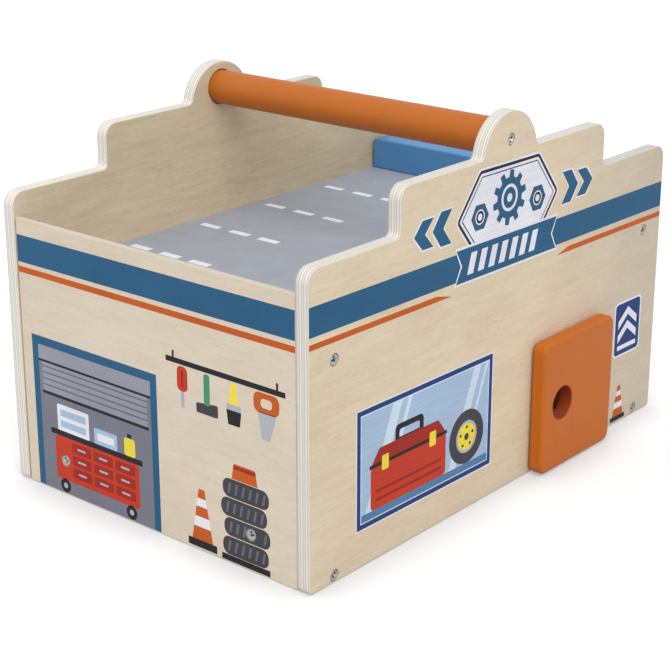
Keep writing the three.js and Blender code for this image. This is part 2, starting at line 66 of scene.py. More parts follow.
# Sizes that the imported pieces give
PANEL = box_of("side_panel_right")
DECK = box_of("roof_deck")
BASE = box_of("base_board")
WALL = box_of("front_wall")
KERB = box_of("rear_kerb")
HANDLE = box_of("carry_handle")
DOOR = box_of("side_door")
LIFT_BOARD = box_of("lift_board")
WALL_BOXES = [box_of(f"wall_screw_{side}") for side in ("left", "right")]
WALL_SCREWS = [(midway(b.left, b.right), midway(b.bottom, b.top)) for b in WALL_BOXES]

LENGTH = PANEL.back - PANEL.front
HALF = LENGTH / 2
INNER = PANEL.left
OUTER = PANEL.right
PANEL_THICK = OUTER - INNER
WALL_THICK = WALL.back - WALL.front
LIFT_THICK = LIFT_BOARD.right - LIFT_BOARD.left
HANDLE_RADIUS = HANDLE.back
HANDLE_HEIGHT = midway(HANDLE.bottom, HANDLE.top)

# Outline of the side panels
LOW_SHOULDER = 171
STEP_HEIGHT = 26
STEP_FROM_END = 70
EAR_RADIUS = 25
SHOULDER_RADIUS = 8
FOOT_RADIUS = 3
FILLET = 3
HIGH_SHOULDER = LOW_SHOULDER + STEP_HEIGHT
EAR_HEIGHT = PANEL.top - EAR_RADIUS

# Corners and rounded edges of the boards
PANEL_ROUND = 0.7
WALL_CORNER = 0.6
WALL_ROUND = 0.5
KERB_CORNER = 3
KERB_ROUND = 1.1
HANDLE_ROUND = 0.8
DOOR_CORNER = 5.5
DOOR_ROUND = 1.9

# Doorway, the door's finger hole and the handle's sockets
DOOR_LAP = 8.3
DOORWAY_CORNER = 6
DOORWAY_ROUND = 0.4
DOOR_HOLE_FROM_EDGE = 20.5
DOOR_HOLE_RADIUS = 10
DOOR_HOLE_ROUND = 1
SOCKET_DEPTH = 3
SOCKET_CLEARANCE = 0.65
OVERRUN = 2
DOOR_HOLE_Y = DOOR.front + DOOR_HOLE_FROM_EDGE
DOOR_HOLE_HEIGHT = midway(DOOR.bottom, DOOR.top)

# Wood screws. The recess is a cross of two bars, given by half their sizes at the foot and the mouth
HEAD_RADIUS = 3.1
HEAD_HEIGHT = 2
HEAD_RIM = 0.25
HEAD_ROUND = 0.2
HOLE_CLEARANCE = 0.35
HOLE_RADIUS = HEAD_RADIUS + HOLE_CLEARANCE
SHANK_RADIUS = 1.5
TIP_HEIGHT = 1.2
RECESS_DEPTH = 1.6
RECESS_RISE = 0.5
RECESS_LONG = (1.025, 2.378)
RECESS_WIDE = (0.36, 0.72)
FIRST_TURN = 0.45
NEXT_TURN = 1.3

# Steps of a rounded corner or edge, and sides of a full circle
FEW_STEPS = 3
SOME_STEPS = 4
EDGE_STEPS = 5
STEPS = 6
MANY_STEPS = 8
DOOR_STEPS = 10
EAR_STEPS = 48
NUT_SIDES = 6
BOLT_SIDES = 12
SMALL_RING = 24
RING = 32
SCREW_RING = 40
LARGE_RING = 48
DOOR_HOLE_RING = 64
DOWEL_RING = 96
SHARP_ANGLE = 38

# Woods and paints, as sRGB bytes
VENEER = (229, 213, 185)
VENEER_DARK = (212, 193, 164)
# The left panel's two veneer tones are darker copies of the veneer: painted shade for its inner face
LEFT_VENEER_IN_SHADE = (216, 200, 171)
LEFT_DARK_IN_SHADE = (192, 174, 143)
WALL_VENEER = (223, 210, 191)
WALL_DARK = (209, 194, 173)
RAIL_DARK = (206, 186, 150)
PLY_END = (235, 232, 223)
WALL_END = (230, 218, 197)
GLUE_LINE = (176, 173, 165)
# The second colour of each paint is lighter: a painted highlight on its edges, and worn paint
HANDLE_ORANGE = (186, 103, 34)
HANDLE_HIGHLIGHT_AND_WEAR = (208, 138, 76)
GUSSET_ORANGE = (194, 103, 30)
GUSSET_HIGHLIGHT_AND_WEAR = (214, 140, 74)
DOOR_ORANGE = (194, 103, 27)
DOOR_HIGHLIGHT_AND_WEAR = (210, 132, 66)
# Painted shade inside the door's finger hole
BORE_SHADE_ORANGE = (148, 62, 26)
KERB_BLUE = (79, 133, 183)
KERB_HIGHLIGHT_AND_WEAR = (140, 178, 208)
DECK_GREY = (160, 166, 177)
DECK_HIGHLIGHT_AND_WEAR = (196, 198, 204)
ZINC_COOL = (158, 161, 166)
ZINC_WARM = (180, 176, 166)
ZINC_GRIME = (84, 80, 76)

# Inks, as sRGB bytes
BLUE = (42, 93, 129)
NAVY = (34, 62, 120)
ORANGE = (196, 93, 35)
RED = (196, 62, 40)
DARK_RED = (160, 44, 32)
GREEN = (74, 146, 114)
YELLOW = (240, 218, 70)
BLACK = (36, 36, 42)
TYRE = (66, 66, 72)
TREAD = (104, 104, 112)
BAY_GREY = (122, 124, 136)
SLAT_GREY = (150, 152, 164)
SLAT_LINE = (104, 106, 118)
STEEL_GREY = (176, 180, 190)
PALE_BLUE = (168, 192, 218)
SHINE = (206, 222, 238)
SILL_BLUE = (84, 128, 168)
WHITE = (232, 232, 240)
DASH_WHITE = (231, 238, 254)

# Marks in a finish: their size across and along the grain, and the noise's detail and roughness
Mark = namedtuple("Mark", "across along detail rough", defaults=(2.0, 0.5))
NOISE_MIDDLE = (0.3, 0.7)

# Birch
WAVER = Mark(24, 50)
WAVER_REACH = 4.0
FIBRE = Mark(0.6, 4.5, 3.0, 0.6)
STREAK = Mark(2.2, 20, 3.0, 0.55)
CLOUD = Mark(6, 30)
PATCH = Mark(38, 70, 1.0)
FIGURE = Mark(16, 120, 1.0)
FIGURE_RINGS = 9.0
FIGURE_LINE = (0.0, 0.3)
WOOD_SHARES = (0.26, 0.28, 0.2, 0.26, 0.03)
WOOD_MIDDLE = (0.38, 0.68)
FLECK = Mark(0.8, 6, 1.0)
FLECK_RANGE = (0.63, 0.78)
FLECK_TONE_SHARE = 0.78
PLY_FLECK_SHARE = 0.22
STICK_FLECK_SHARE = 0.25
PLY_ROUGHNESS = (0.52, 0.66)
STICK_ROUGHNESS = (0.54, 0.68)
STICK_RINGS = Mark(1.2, 200, 3.0, 0.6)
STICK_END_SHARES = (0.95, 0.8)
WOOD_GLOSS = 0.25
WOOD_RELIEF = (0.3, 0.06)
FACE_TURN = (0.8, 0.97)

# Layers of plywood on its edges. The last two are painted shade on the side panels, darker towards the back:
# start, stop, tones
PANEL_PLIES = 5
WALL_PLIES = 3
PLY_WANDER = Mark(9, 9)
PLY_WANDER_REACH = 0.16
PLY_TURN = (0.4, 0.6)
GLUE_REACH = (0.1, 0.42)
GLUE_SHARE = 0.75
END_FIBRE = Mark(0.5, 0.5, 3.0, 0.7)
END_SHARES = (1, 0.96, 0.91)
RIGHT_PAINTED_SHADE = (20, HALF, (1, 1, 1), (0.81, 0.835, 0.9))
LEFT_PAINTED_SHADE = (-HALF, HALF, (1.09, 1.09, 1.09), (0.92, 0.92, 0.92))

# Paint
COAT_MOTTLE = Mark(16, 16, 3.0, 0.55)
COAT_SHARES = (0.97, 1.02)
PAINT_MOTTLE = Mark(13, 13, 3.0, 0.55)
PAINT_STREAK = Mark(0.9, 22, 3.0, 0.6)
PAINT_TONE_SHARES = (0.6, 0.4)
PAINT_SHARES = (0.975, 1.02)
PAINT_ROUGHNESS = (0.37, 0.5)
DECK_ROUGHNESS = (0.45, 0.58)
PAINT_ROUGH_RANGE = (0.25, 0.75)
PAINT_GLOSS = 0.2
PAINT_FINE = Mark(0.7, 0.7, 3.0, 0.6)
PAINT_RELIEF_SHARES = (0.5, 0.7)
PAINT_RELIEF = (0.22, 0.05)
# Lighter paint edges, a painted highlight and worn paint: reach, samples and range of the edge, then its
# chips
HIGHLIGHT_AND_WEAR_REACH = 0.9
HIGHLIGHT_AND_WEAR_SAMPLES = 4
HIGHLIGHT_AND_WEAR_EDGE = (0.82, 0.985)
CHIPS = Mark(1.6, 1.6, 4.0, 0.65)
CHIP_RANGE = (0.4, 0.75)
CHIP_SHARES = (0.1, 0.6)
# Painted shade inside the door's finger hole: its radius and the width of its soft edge
BORE_SHADE_REACH = 9.9
BORE_SHADE_FADE = 0.7

# Ink
INK_LAYER = 0.015
INK_STREAK = Mark(0.9, 18, 4.0, 0.6)
INK_SPECK = Mark(0.45, 0.45, 1.0)
INK_PATCH = Mark(30, 30, 1.0)
INK_TONE_SHARES = (0.5, 0.3, 0.2)
INK_MIDDLE = (0.32, 0.68)
INK_DARK_SHARE = 0.93
INK_LIGHT_SHARE = 1.04
INK_LIFT = 2
INK_ROUGH_RANGE = (0.2, 0.8)
INK_ROUGHNESS = (0.44, 0.58)
INK_RELIEF = (0.2, 0.05)
INK_GLOSS = 0.12

# Zinc plating
ZINC_CLOUD = Mark(6, 6)
ZINC_CLOUD_RANGE = (0.35, 0.65)
ZINC_GRIME_MARK = Mark(2.4, 2.4, 3.0, 0.6)
ZINC_GRIME_RANGE = (0.68, 0.9)
ZINC_GRIME_SHARE = 0.4
ZINC_SCRATCH = Mark(2.6, 0.3)
ZINC_ROUGHNESS = (0.26, 0.36)
ZINC_RELIEF = (0.08, 0.01)

# Places on the faces are (u, v): u runs along the face, v up it. The side's prints slope a little to the back
PRINT_SLOPE_SHARE = -0.0135
INK_ROOM = 0.04
INK_HOLE_RADIUS = 3.5
SIDE_START = PANEL_ROUND
SIDE_END = LENGTH - PANEL_ROUND
FRONT_END = INNER - 1

# Prints: a bar is (level, ink, left, foot, right, top, radius, steps), a form (level, ink, corners, steps)
# with corners (u, v, radius), and a disc (level, ink, radius, sides). A higher level covers a lower one, and
# radius and steps may be left out
FRONT_STRIPES = [
    (0, BLUE, ((-FRONT_END, 132.3), (FRONT_END, 133.7), (FRONT_END, 149.3), (-FRONT_END, 147.9))),
    (0, ORANGE, ((-FRONT_END, 126.3), (FRONT_END, 127.4), (FRONT_END, 130.9), (-FRONT_END, 129.8))),
]
SIDE_STRIPE = (0, BLUE, SIDE_START, 134.6, SIDE_END, 150.1)
SIDE_TIPS = [
    (0, ORANGE, ((SIDE_START, 128.1), (114.5, 128.1), (101.6, 131.2), (SIDE_START, 131.2))),
    (0, ORANGE, ((214.5, 128.1), (SIDE_END, 128.1), (SIDE_END, 131.2), (226.5, 131.2))),
]
LEFT_STRIPES = [
    (0, BLUE, SIDE_START, 132.8, SIDE_END, 148.3),
    (0, ORANGE, SIDE_START, 127.2, SIDE_END, 129.8),
]
SHUTTER_BARS = [
    (0, BLUE, -94.3, 0.8, 4.8, 91.8),
    (1, BAY_GREY, -89.4, 0.8, -0.1, 86.8),
    (2, SLAT_GREY, -89.4, 78.4, -0.1, 86.8),
    (2, BLACK, -89.4, 77.0, -0.1, 78.4),
    (2, SLAT_GREY, -86.6, 60.0, -2.9, 77.0),
    (2, BLACK, -87.4, 58.2, -2.1, 60.0),
]
SLAT_BAR = (3, SLAT_LINE, -86.6, 63.4, -2.9, 64.2)
SLATS = 4
SLAT_PITCH = 3.6
TROLLEY_BARS = [
    (2, RED, -79, 9, -11, 35.5, 2.5),
    (3, BLACK, -82, 35.5, -8, 38.8, 0.8, FEW_STEPS),
]
DRAWER_BARS = [
    (3, DARK_RED, -65, 12.4, -49.4, 18.4, 0.8, FEW_STEPS),
    (4, STEEL_GREY, -60.6, 14.8, -53.8, 16, 0.5, FEW_STEPS),
]
DRAWER_COLUMNS = 3
DRAWER_ROWS = 3
DRAWER_PITCH = (17.6, 7.6)
WHEEL_PLACES = ((-72, 5.4), (-18, 5.4))
WHEEL_DISCS = ((2, BLACK, 4.2, RING), (3, STEEL_GREY, 1.7, SMALL_RING))
CRATE_BARS = [
    (2, WHITE, -76, 38.8, -50, 54.6, 1, FEW_STEPS),
    (3, PALE_BLUE, -73.4, 47.6, -52.6, 51.8),
    (3, PALE_BLUE, -73.4, 41.2, -52.6, 45.2),
    (2, PALE_BLUE, -46, 38.8, -27.5, 48.2, 1, FEW_STEPS),
    (3, WHITE, -43.4, 41.2, -30, 45.6),
    (2, YELLOW, -22, 38.8, -13.4, 49.4, 1.6),
    (2, BLACK, -19.4, 49.4, -16, 51.8),
]
TOOL_BARS = [
    (0, BLACK, 12.5, 102.2, 95.5, 105.2),
    (0, BLACK, 17.2, 105.2, 18.6, 109),
    (0, BLACK, 89.4, 105.2, 90.8, 109),
    (0, STEEL_GREY, 23.1, 78.6, 25.3, 90),
    (1, RED, 20.4, 87.6, 28, 101.4, 3),
    (2, DARK_RED, 23.4, 90, 25, 99, 0.7, FEW_STEPS),
    (1, GREEN, 39.6, 84, 43.8, 101.4, 1.6),
    (0, STEEL_GREY, 55.4, 86.4, 65.6, 89.6),
]
TOOL_FORMS = [
    (0, TYRE, ((34, 79, 1), (49.4, 79, 1), (49.4, 86, 1), (34, 84.4, 1)), FEW_STEPS),
    (0, BLACK, ((56.4, 78.4), (64.6, 78.4), (65.6, 86.4), (55.4, 86.4))),
    (0, YELLOW, ((57.6, 89.6), (63.4, 89.6), (62.4, 101.4, 1.6), (58.6, 101.4, 1.6)), SOME_STEPS),
    (0, STEEL_GREY, ((77, 91), (79.4, 76.4), (85, 76.4), (89.4, 91))),
]
SAW_GRIP = (74.2, 90.6, 91.4, 101.4, 3.6)
SAW_GRIP_HOLE = (79, 93.4, 86.6, 98.4, 2)
STACK_FOOT = (0, BLACK, 50, 1, 84, 4.5)
STACK_TYRE = (1, TYRE, 51, 4.75, 83, 15.25, 4.4)
STACK_PITCH = 11
STACK_SHIFTS = (0, 1.2, -0.8, 0.6)
SCREWED_TYRE = 1
TREADS = 6
TREAD_START = 55.4
TREAD_PITCH = 4.8
TREAD_FORM = (2, TREAD, ((-1.1, 6.9), (0.4, 6.9), (1.7, 13.1), (0.1, 13.1)))
TREAD_FROM_SCREW = 5.9
FUNNEL_FORM = (0, ORANGE, ((58, 48.6), (76, 48.6), (74.4, 57.4, 1), (59.6, 57.4, 1)), SOME_STEPS)
FUNNEL_BAR = (1, DARK_RED, 59.2, 54.4, 74.8, 56.4)
FRONT_CONE = (36, 1.6, 21, 34)
SIDE_CONE = (292, 3.4, 17, 23)
CONE_BASE_SHARE = 0.13
CONE_FOOT_SHARE = 0.36
CONE_TIP_SHARE = 0.1
CONE_BAND_SHARES = ((0.26, 0.46), (0.66, 0.82))
CONE_CORNER = 0.5
WINDOW = (37, 19.7, 154, 85.6)
WINDOW_RIMS = ((0, WHITE, -0.7), (1, NAVY, 0), (2, SHINE, 2.8), (3, PALE_BLUE, 3.5))
BEAMS = ((42, 8), (55, 3.2), (113, 6.5), (124, 2.4))
BEAM_LEAN = 24
BEAM_ENDS = (23.2, 82.1)
SILL_BAR = (5, SILL_BLUE, 40.5, 23.2, 150.5, 27.4)
TOOLBOX_BODY = (6, RED, 48, 27.4, 112, 52, 2.6)
TOOLBOX_BARS = [
    (7, BLACK, 47, 51, 113, 53),
    (8, YELLOW, 57, 47.6, 62.6, 56, 0.8, FEW_STEPS),
    (8, YELLOW, 97.4, 47.6, 103, 56, 0.8, FEW_STEPS),
    (7, DARK_RED, 52, 31.6, 108, 33.4),
    (7, DARK_RED, 52, 36.4, 108, 38.2),
]
TOOLBOX_LID = (6, DARK_RED, ((48, 52), (112, 52), (105, 61, 2), (55, 61, 2)), SOME_STEPS)
TOOLBOX_GRIP = ((68, 61), (92, 61), (92, 69.4, 3), (68, 69.4, 3))
TOOLBOX_GRIP_HOLE = ((71.4, 61.8), (88.6, 61.8), (88.6, 66.2, 1.4), (71.4, 66.2, 1.4))
TYRE_PLACE = (131, 43.2)
TYRE_DISCS = (
    (6, TYRE, 15.8, LARGE_RING),
    (7, STEEL_GREY, 9.48, LARGE_RING),
    (8, YELLOW, 7.9, LARGE_RING),
    (9, TYRE, 2.054, SMALL_RING),
)
BOLTS = 5
BOLT_TURN = 0.3
BOLT_FROM_MIDDLE = 5.688
BOLT_DISCS = ((9, BLACK, 0.948, BOLT_SIDES),)
PLAQUE_HALVES = (47.5, 27.5)
PLAQUE_HEIGHTS = (143, 167, 191.5)
PLAQUE_CORNER = 3
PLAQUE_RIMS = ((1, WHITE, -1.2), (2, BLACK, 0), (3, WHITE, 1.7), (4, BLUE, 3.2), (5, WHITE, 3.9))
COG_HEIGHT = 172
COG_RADII = (11.6, 15.4)
COG_TEETH = 10
COG_TURN = 0.2
TOOTH_SHARES = ((-0.30, 0), (-0.19, 1), (0.19, 1), (0.30, 0))
COG_DISCS = ((7, WHITE, 7.6, LARGE_RING), (8, BLUE, 5.8, LARGE_RING), (9, WHITE, 2.4, SMALL_RING))
NUT_FROM_MIDDLE = 27
NUT_HEIGHT = 166.5
NUT_DISCS = (
    (6, BLUE, 8, NUT_SIDES),
    (7, WHITE, 4.2, RING),
    (8, BLACK, 3.4, RING),
    (9, WHITE, 2, SMALL_RING),
)
CHEVRONS = ((56.5, 9.4), (72, 7.8))
CHEVRON_HEIGHT = 167
CHEVRON_LEAN = 7.2
CHEVRON_HALF_THICK = 4.6
CHEVRON_RIM = 0.9
RIBBON_HALVES = (47.3, 42)
RIBBON_HEIGHTS = (133.4, 142.6, 151.9)
RIBBON_RIM = 1.3
RIBBON_BARS = 7
RIBBON_BAR_PITCH = 9.6
RIBBON_BAR = (12, WHITE, ((127.5, 136.8), (132.9, 136.8), (136.5, 148.5), (131.1, 148.5)))
SIGN_BARS = [
    (0, WHITE, 282.7, 45.9, 313.3, 81.5, 3.4),
    (1, NAVY, 283.9, 47.1, 312.1, 80.3, 2.6),
    (2, WHITE, 287.4, 50.2, 308.6, 53),
]
SIGN_ARROW = (2, WHITE, ((287.4, 55), (298, 63), (308.6, 55), (308.6, 60), (298, 68), (287.4, 60)))
SIGN_ARROWS = 2
SIGN_ARROW_PITCH = 9
DASH_ROWS = (78.8, 136.6, 194.7, 252.1)
DASH_STARTS = (-93.8, -69.9, -46.4)
DASH_LENGTH = 15
DASH_WIDTH = 5

# Floor, lamps and camera. A lamp is its name, the way to it, its strength and its spread in degrees
FULL_WHITE = (1, 1, 1, 1)
WORLD_LIGHT = 0.69
FLOOR_HALF = 30000
FLOOR_DROP = 0.2
FLOOR_CLOUD = Mark(400, 400)
FLOOR_TONES = (0.6, 0.615)
FLOOR_ROUGHNESS = 0.9
FLOOR_LIFT = 0.43
# Painted contact shadow on the floor: its reach, samples, the occlusion it spans and its tones
PAINTED_SHADOW_REACH = 26
PAINTED_SHADOW_SAMPLES = 16
PAINTED_SHADOW_OPEN_SHARES = (0.5, 1.0)
PAINTED_SHADOW_TONES = (0.77, 1.0)
LAMPS = (("key", (0.8, -0.75, 1.25), 1.58, 50), ("fill", (-0.7, -0.6, 0.6), 0.35, 70))
CAMERA_PLACE = (606.4, -730.4, 413.4)
CAMERA_AZIMUTH = 40.25
CAMERA_ELEVATION = 18.68
CAMERA_SENSOR = 36
CAMERA_LENS = 90.81
CAMERA_SHIFT_SHARE = -0.06
CAMERA_CLIP = (50, 60000)


# Colours
def linear(byte):
    """An sRGB byte as linear light."""
    value = byte / 255
    return value / 12.92 if value <= 0.04045 else ((value + 0.055) / 1.055) ** 2.4


def colour(rgb):
    return (*[linear(c) for c in rgb], 1)


def shaded(rgb, share, lift=0):
    """A darker or lighter colour."""
    return colour([min(255, c * share + lift) for c in rgb])


# Node graphs
class Graph:
    """The node tree of a world or a material, and short calls to add nodes to it."""

    def __init__(self, owner):
        owner.use_nodes = True
        self.tree = owner.node_tree
        self.tree.nodes.clear()

    def link(self, start, end):
        self.tree.links.new(start, end)

    def add(self, kind, inputs=None, **settings):
        node = self.tree.nodes.new(kind)
        for key, value in settings.items():
            setattr(node, key, value)
        for key, value in (inputs or {}).items():
            if isinstance(value, bpy.types.NodeSocket):
                self.link(value, node.inputs[key])
            else:
                node.inputs[key].default_value = value
        return node

    def math(self, operation, a, b=0.0):
        return self.add("ShaderNodeMath", {0: a, 1: b}, operation=operation).outputs[0]

    def weighted(self, values, shares):
        """The sum of values times their shares."""
        terms = [self.math("MULTIPLY", value, share) for value, share in zip(values, shares)]
        total = terms[0]
        for term in terms[1:]:
            total = self.math("ADD", total, term)
        return total

    def mix(self, share, a, b, blend="MIX"):
        node = self.add("ShaderNodeMix", {0: share, 6: a, 7: b}, data_type="RGBA", blend_type=blend)
        return node.outputs[2]

    def span(self, value, low, high, start=0.0, end=1.0, kind="SMOOTHSTEP"):
        inputs = {0: value, 1: low, 2: high, 3: start, 4: end}
        return self.add("ShaderNodeMapRange", inputs, interpolation_type=kind).outputs[0]

    def ramp(self, *limits):
        return self.span(*limits, kind="LINEAR")

    def parts(self, vector):
        return self.add("ShaderNodeSeparateXYZ", {0: vector}).outputs

    def millimetres(self):
        place = self.add("ShaderNodeTexCoord").outputs["Object"]
        return self.add("ShaderNodeVectorMath", {0: place, "Scale": 1 / MM}, operation="SCALE").outputs[0]

    def marks(self, place, mark, grain=0):
        """Noise with marks that run along axis 0, 1 or 2."""
        sizes = [mark.across] * 3
        sizes[grain] = mark.along
        spread = [1 / size for size in sizes]
        stretched = self.add("ShaderNodeVectorMath", {0: place, 1: spread}, operation="MULTIPLY").outputs[0]
        inputs = {"Vector": stretched, "Scale": 1.0, "Detail": mark.detail, "Roughness": mark.rough}
        return self.add("ShaderNodeTexNoise", inputs).outputs[0]

    def seen_share(self):
        """1 for rays from the camera, from gloss and through glass."""
        path = self.add("ShaderNodeLightPath").outputs
        near = self.math("MAXIMUM", path["Is Camera Ray"], path["Is Glossy Ray"])
        return self.math("MAXIMUM", near, path["Is Transmission Ray"])


class Finish(Graph):
    """The graph of a new material with a Principled surface."""

    def __init__(self, name):
        self.material = bpy.data.materials.new(name)
        super().__init__(self.material)
        self.shader = self.add("ShaderNodeBsdfPrincipled")
        self.out = self.add("ShaderNodeOutputMaterial", {"Surface": self.shader.outputs[0]})

    def colour_from(self, socket):
        self.link(socket, self.shader.inputs["Base Color"])

    def set(self, name, value):
        self.shader.inputs[name].default_value = value

    def surface(self, roughness, height, relief):
        """Roughness and a bump, whose relief is its strength and its depth in millimetres."""
        inputs = {"Height": height, "Strength": relief[0], "Distance": relief[1] * MM}
        bump = self.add("ShaderNodeBump", inputs).outputs[0]
        self.link(roughness, self.shader.inputs["Roughness"])
        self.link(bump, self.shader.inputs["Normal"])


# Woods
def wood_marks(g, place, grain):
    """The tone of a birch face, with its flecks and fibres apart."""
    waver = g.marks(place, WAVER, grain)
    offset = g.add("ShaderNodeVectorMath", {0: waver, "Scale": WAVER_REACH}, operation="SCALE").outputs[0]
    bent = g.add("ShaderNodeVectorMath", {0: place, 1: offset}, operation="ADD").outputs[0]
    fibre = g.marks(bent, FIBRE, grain)
    contour = g.math("PINGPONG", g.math("MULTIPLY", g.marks(place, FIGURE, grain), FIGURE_RINGS), 1.0)
    streaks = g.marks(bent, STREAK, grain)
    clouds = g.marks(bent, CLOUD, grain)
    patches = g.marks(place, PATCH, grain)
    figure = g.span(contour, *FIGURE_LINE, 1.0, 0.0)
    tone = g.weighted((fibre, streaks, clouds, patches, figure), WOOD_SHARES)
    flecks = g.span(g.marks(bent, FLECK, grain), *FLECK_RANGE)
    return tone, flecks, fibre


def wood_colour(g, tone, flecks, light, dark, fleck_share):
    face = g.mix(g.ramp(tone, *WOOD_MIDDLE), colour(light), colour(dark))
    return g.mix(g.math("MULTIPLY", flecks, fleck_share), face, shaded(dark, FLECK_TONE_SHARE))


def ply_edge(g, place, across, middle, plies, thick, end):
    """The colour of a plywood edge by its layers, and how near a point is to a glue line."""
    ply = thick / plies
    wander = g.ramp(g.marks(place, PLY_WANDER), 0.0, 1.0, -PLY_WANDER_REACH, PLY_WANDER_REACH)
    depth = g.math("ADD", g.math("SUBTRACT", across, middle), wander)
    layer = g.math("PINGPONG", g.math("ADD", g.math("DIVIDE", depth, ply), 0.5), 1.0)
    from_glue = g.math("MULTIPLY", g.math("ABSOLUTE", g.math("SUBTRACT", layer, 0.5)), ply)
    glue = g.span(from_glue, *GLUE_REACH, 1.0, 0.0)
    fibre = g.marks(place, END_FIBRE)
    pale, middling, deep = [shaded(end, share) for share in END_SHARES]
    edge = g.mix(g.span(layer, *PLY_TURN), g.mix(fibre, pale, middling), g.mix(fibre, middling, deep))
    return g.mix(g.math("MULTIPLY", glue, GLUE_SHARE), edge, colour(GLUE_LINE)), glue


def plywood(name, thick_axis, middle, grain, light, dark,
            plies=PANEL_PLIES, thick=PANEL_THICK, end=PLY_END, painted=None, painted_shade=None):
    """Birch plywood with veneer faces and layered edges round its mid-plane, paint on top if asked, and
    painted shade along Y if asked.
    """
    g = Finish(name)
    place = g.millimetres()
    spot = g.parts(place)
    normal = g.parts(g.add("ShaderNodeTexCoord").outputs["Normal"])
    flat = g.span(g.math("ABSOLUTE", normal[thick_axis]), *FACE_TURN)
    tone, flecks, fibre = wood_marks(g, place, grain)
    face = wood_colour(g, tone, flecks, light, dark, PLY_FLECK_SHARE)
    if painted:
        mottle = g.ramp(g.marks(place, COAT_MOTTLE), *NOISE_MIDDLE)
        coat = g.mix(mottle, *[shaded(painted, share) for share in COAT_SHARES])
        face = g.mix(g.span(normal[2], *FACE_TURN), face, coat)
    edge, glue = ply_edge(g, place, spot[thick_axis], middle, plies, thick, end)
    base = g.mix(flat, edge, face)
    # Painted shade: the colour is multiplied by a tone that changes along Y from its start to its stop
    if painted_shade:
        start, stop, near, far = painted_shade
        along = g.mix(g.span(spot[1], start, stop), (*near, 1), (*far, 1))
        base = g.mix(1.0, base, along, "MULTIPLY")
    g.colour_from(base)
    face_relief = g.math("MULTIPLY", g.math("SUBTRACT", fibre, flecks), flat)
    edge_relief = g.math("MULTIPLY", g.math("SUBTRACT", 1.0, flat), g.math("SUBTRACT", 1.0, glue))
    roughness = g.ramp(fibre, *NOISE_MIDDLE, *PLY_ROUGHNESS)
    g.surface(roughness, g.math("ADD", face_relief, edge_relief), WOOD_RELIEF)
    g.set("Specular IOR Level", WOOD_GLOSS)
    return g.material


def solid_birch(name, grain, light, dark):
    """A solid stick of birch with end grain on the faces across its grain."""
    g = Finish(name)
    place = g.millimetres()
    tone, flecks, fibre = wood_marks(g, place, grain)
    side = wood_colour(g, tone, flecks, light, dark, STICK_FLECK_SHARE)
    end = g.mix(g.marks(place, STICK_RINGS, grain), *[shaded(dark, share) for share in STICK_END_SHARES])
    normal = g.parts(g.add("ShaderNodeTexCoord").outputs["Normal"])
    g.colour_from(g.mix(g.span(g.math("ABSOLUTE", normal[grain]), *FACE_TURN), side, end))
    roughness = g.ramp(fibre, *NOISE_MIDDLE, *STICK_ROUGHNESS)
    g.surface(roughness, g.math("SUBTRACT", fibre, flecks), WOOD_RELIEF)
    g.set("Specular IOR Level", WOOD_GLOSS)
    return g.material


# Paint, ink and zinc
def edge_highlight_and_wear(g, place):
    """How far the lighter edge colour shows at a point: a painted highlight and worn paint along the edges,
    in chips.
    """
    bevel = g.add("ShaderNodeBevel", {"Radius": HIGHLIGHT_AND_WEAR_REACH * MM}, samples=HIGHLIGHT_AND_WEAR_SAMPLES).outputs[0]
    normal = g.add("ShaderNodeNewGeometry").outputs["Normal"]
    alike = g.add("ShaderNodeVectorMath", {0: bevel, 1: normal}, operation="DOT_PRODUCT").outputs["Value"]
    chips = g.span(g.marks(place, CHIPS), *CHIP_RANGE, *CHIP_SHARES)
    return g.math("MULTIPLY", g.span(alike, *HIGHLIGHT_AND_WEAR_EDGE, 1.0, 0.0), chips)


def bore_shade_mask(g, place, y, z, radius):
    """1 inside a bore that runs along X, 0 outside it: where painted shade darkens the paint."""
    spot = g.parts(place)
    offsets = {1: g.math("SUBTRACT", spot[1], y), 2: g.math("SUBTRACT", spot[2], z)}
    reach = g.add("ShaderNodeCombineXYZ", offsets).outputs[0]
    length = g.add("ShaderNodeVectorMath", {0: reach}, operation="LENGTH").outputs["Value"]
    return g.span(length, radius, radius + BORE_SHADE_FADE, 1.0, 0.0)


def paint(name, rgb, highlight_and_wear_rgb, grain, roughness=PAINT_ROUGHNESS, bore=None):
    """Brushed paint on wood, with faint mottling and lighter edges, a painted highlight and worn paint. A
    bore is (y, z, radius), a hole along X with painted shade inside it.
    """
    g = Finish(name)
    place = g.millimetres()
    mottle = g.marks(place, PAINT_MOTTLE)
    streak = g.marks(place, PAINT_STREAK, grain)
    tone = g.weighted((mottle, streak), PAINT_TONE_SHARES)
    level = g.ramp(tone, *NOISE_MIDDLE)
    base = g.mix(level, *[shaded(rgb, share) for share in PAINT_SHARES])
    # Edges lighter: a painted highlight and worn paint
    base = g.mix(edge_highlight_and_wear(g, place), base, colour(highlight_and_wear_rgb))
    # Painted shade inside the door's finger hole
    if bore:
        base = g.mix(bore_shade_mask(g, place, *bore), base, colour(BORE_SHADE_ORANGE))
    g.colour_from(base)
    rough = g.ramp(mottle, *PAINT_ROUGH_RANGE, *roughness)
    height = g.weighted((g.marks(place, PAINT_FINE), streak), PAINT_RELIEF_SHARES)
    g.surface(rough, height, PAINT_RELIEF)
    g.set("Specular IOR Level", PAINT_GLOSS)
    return g.material


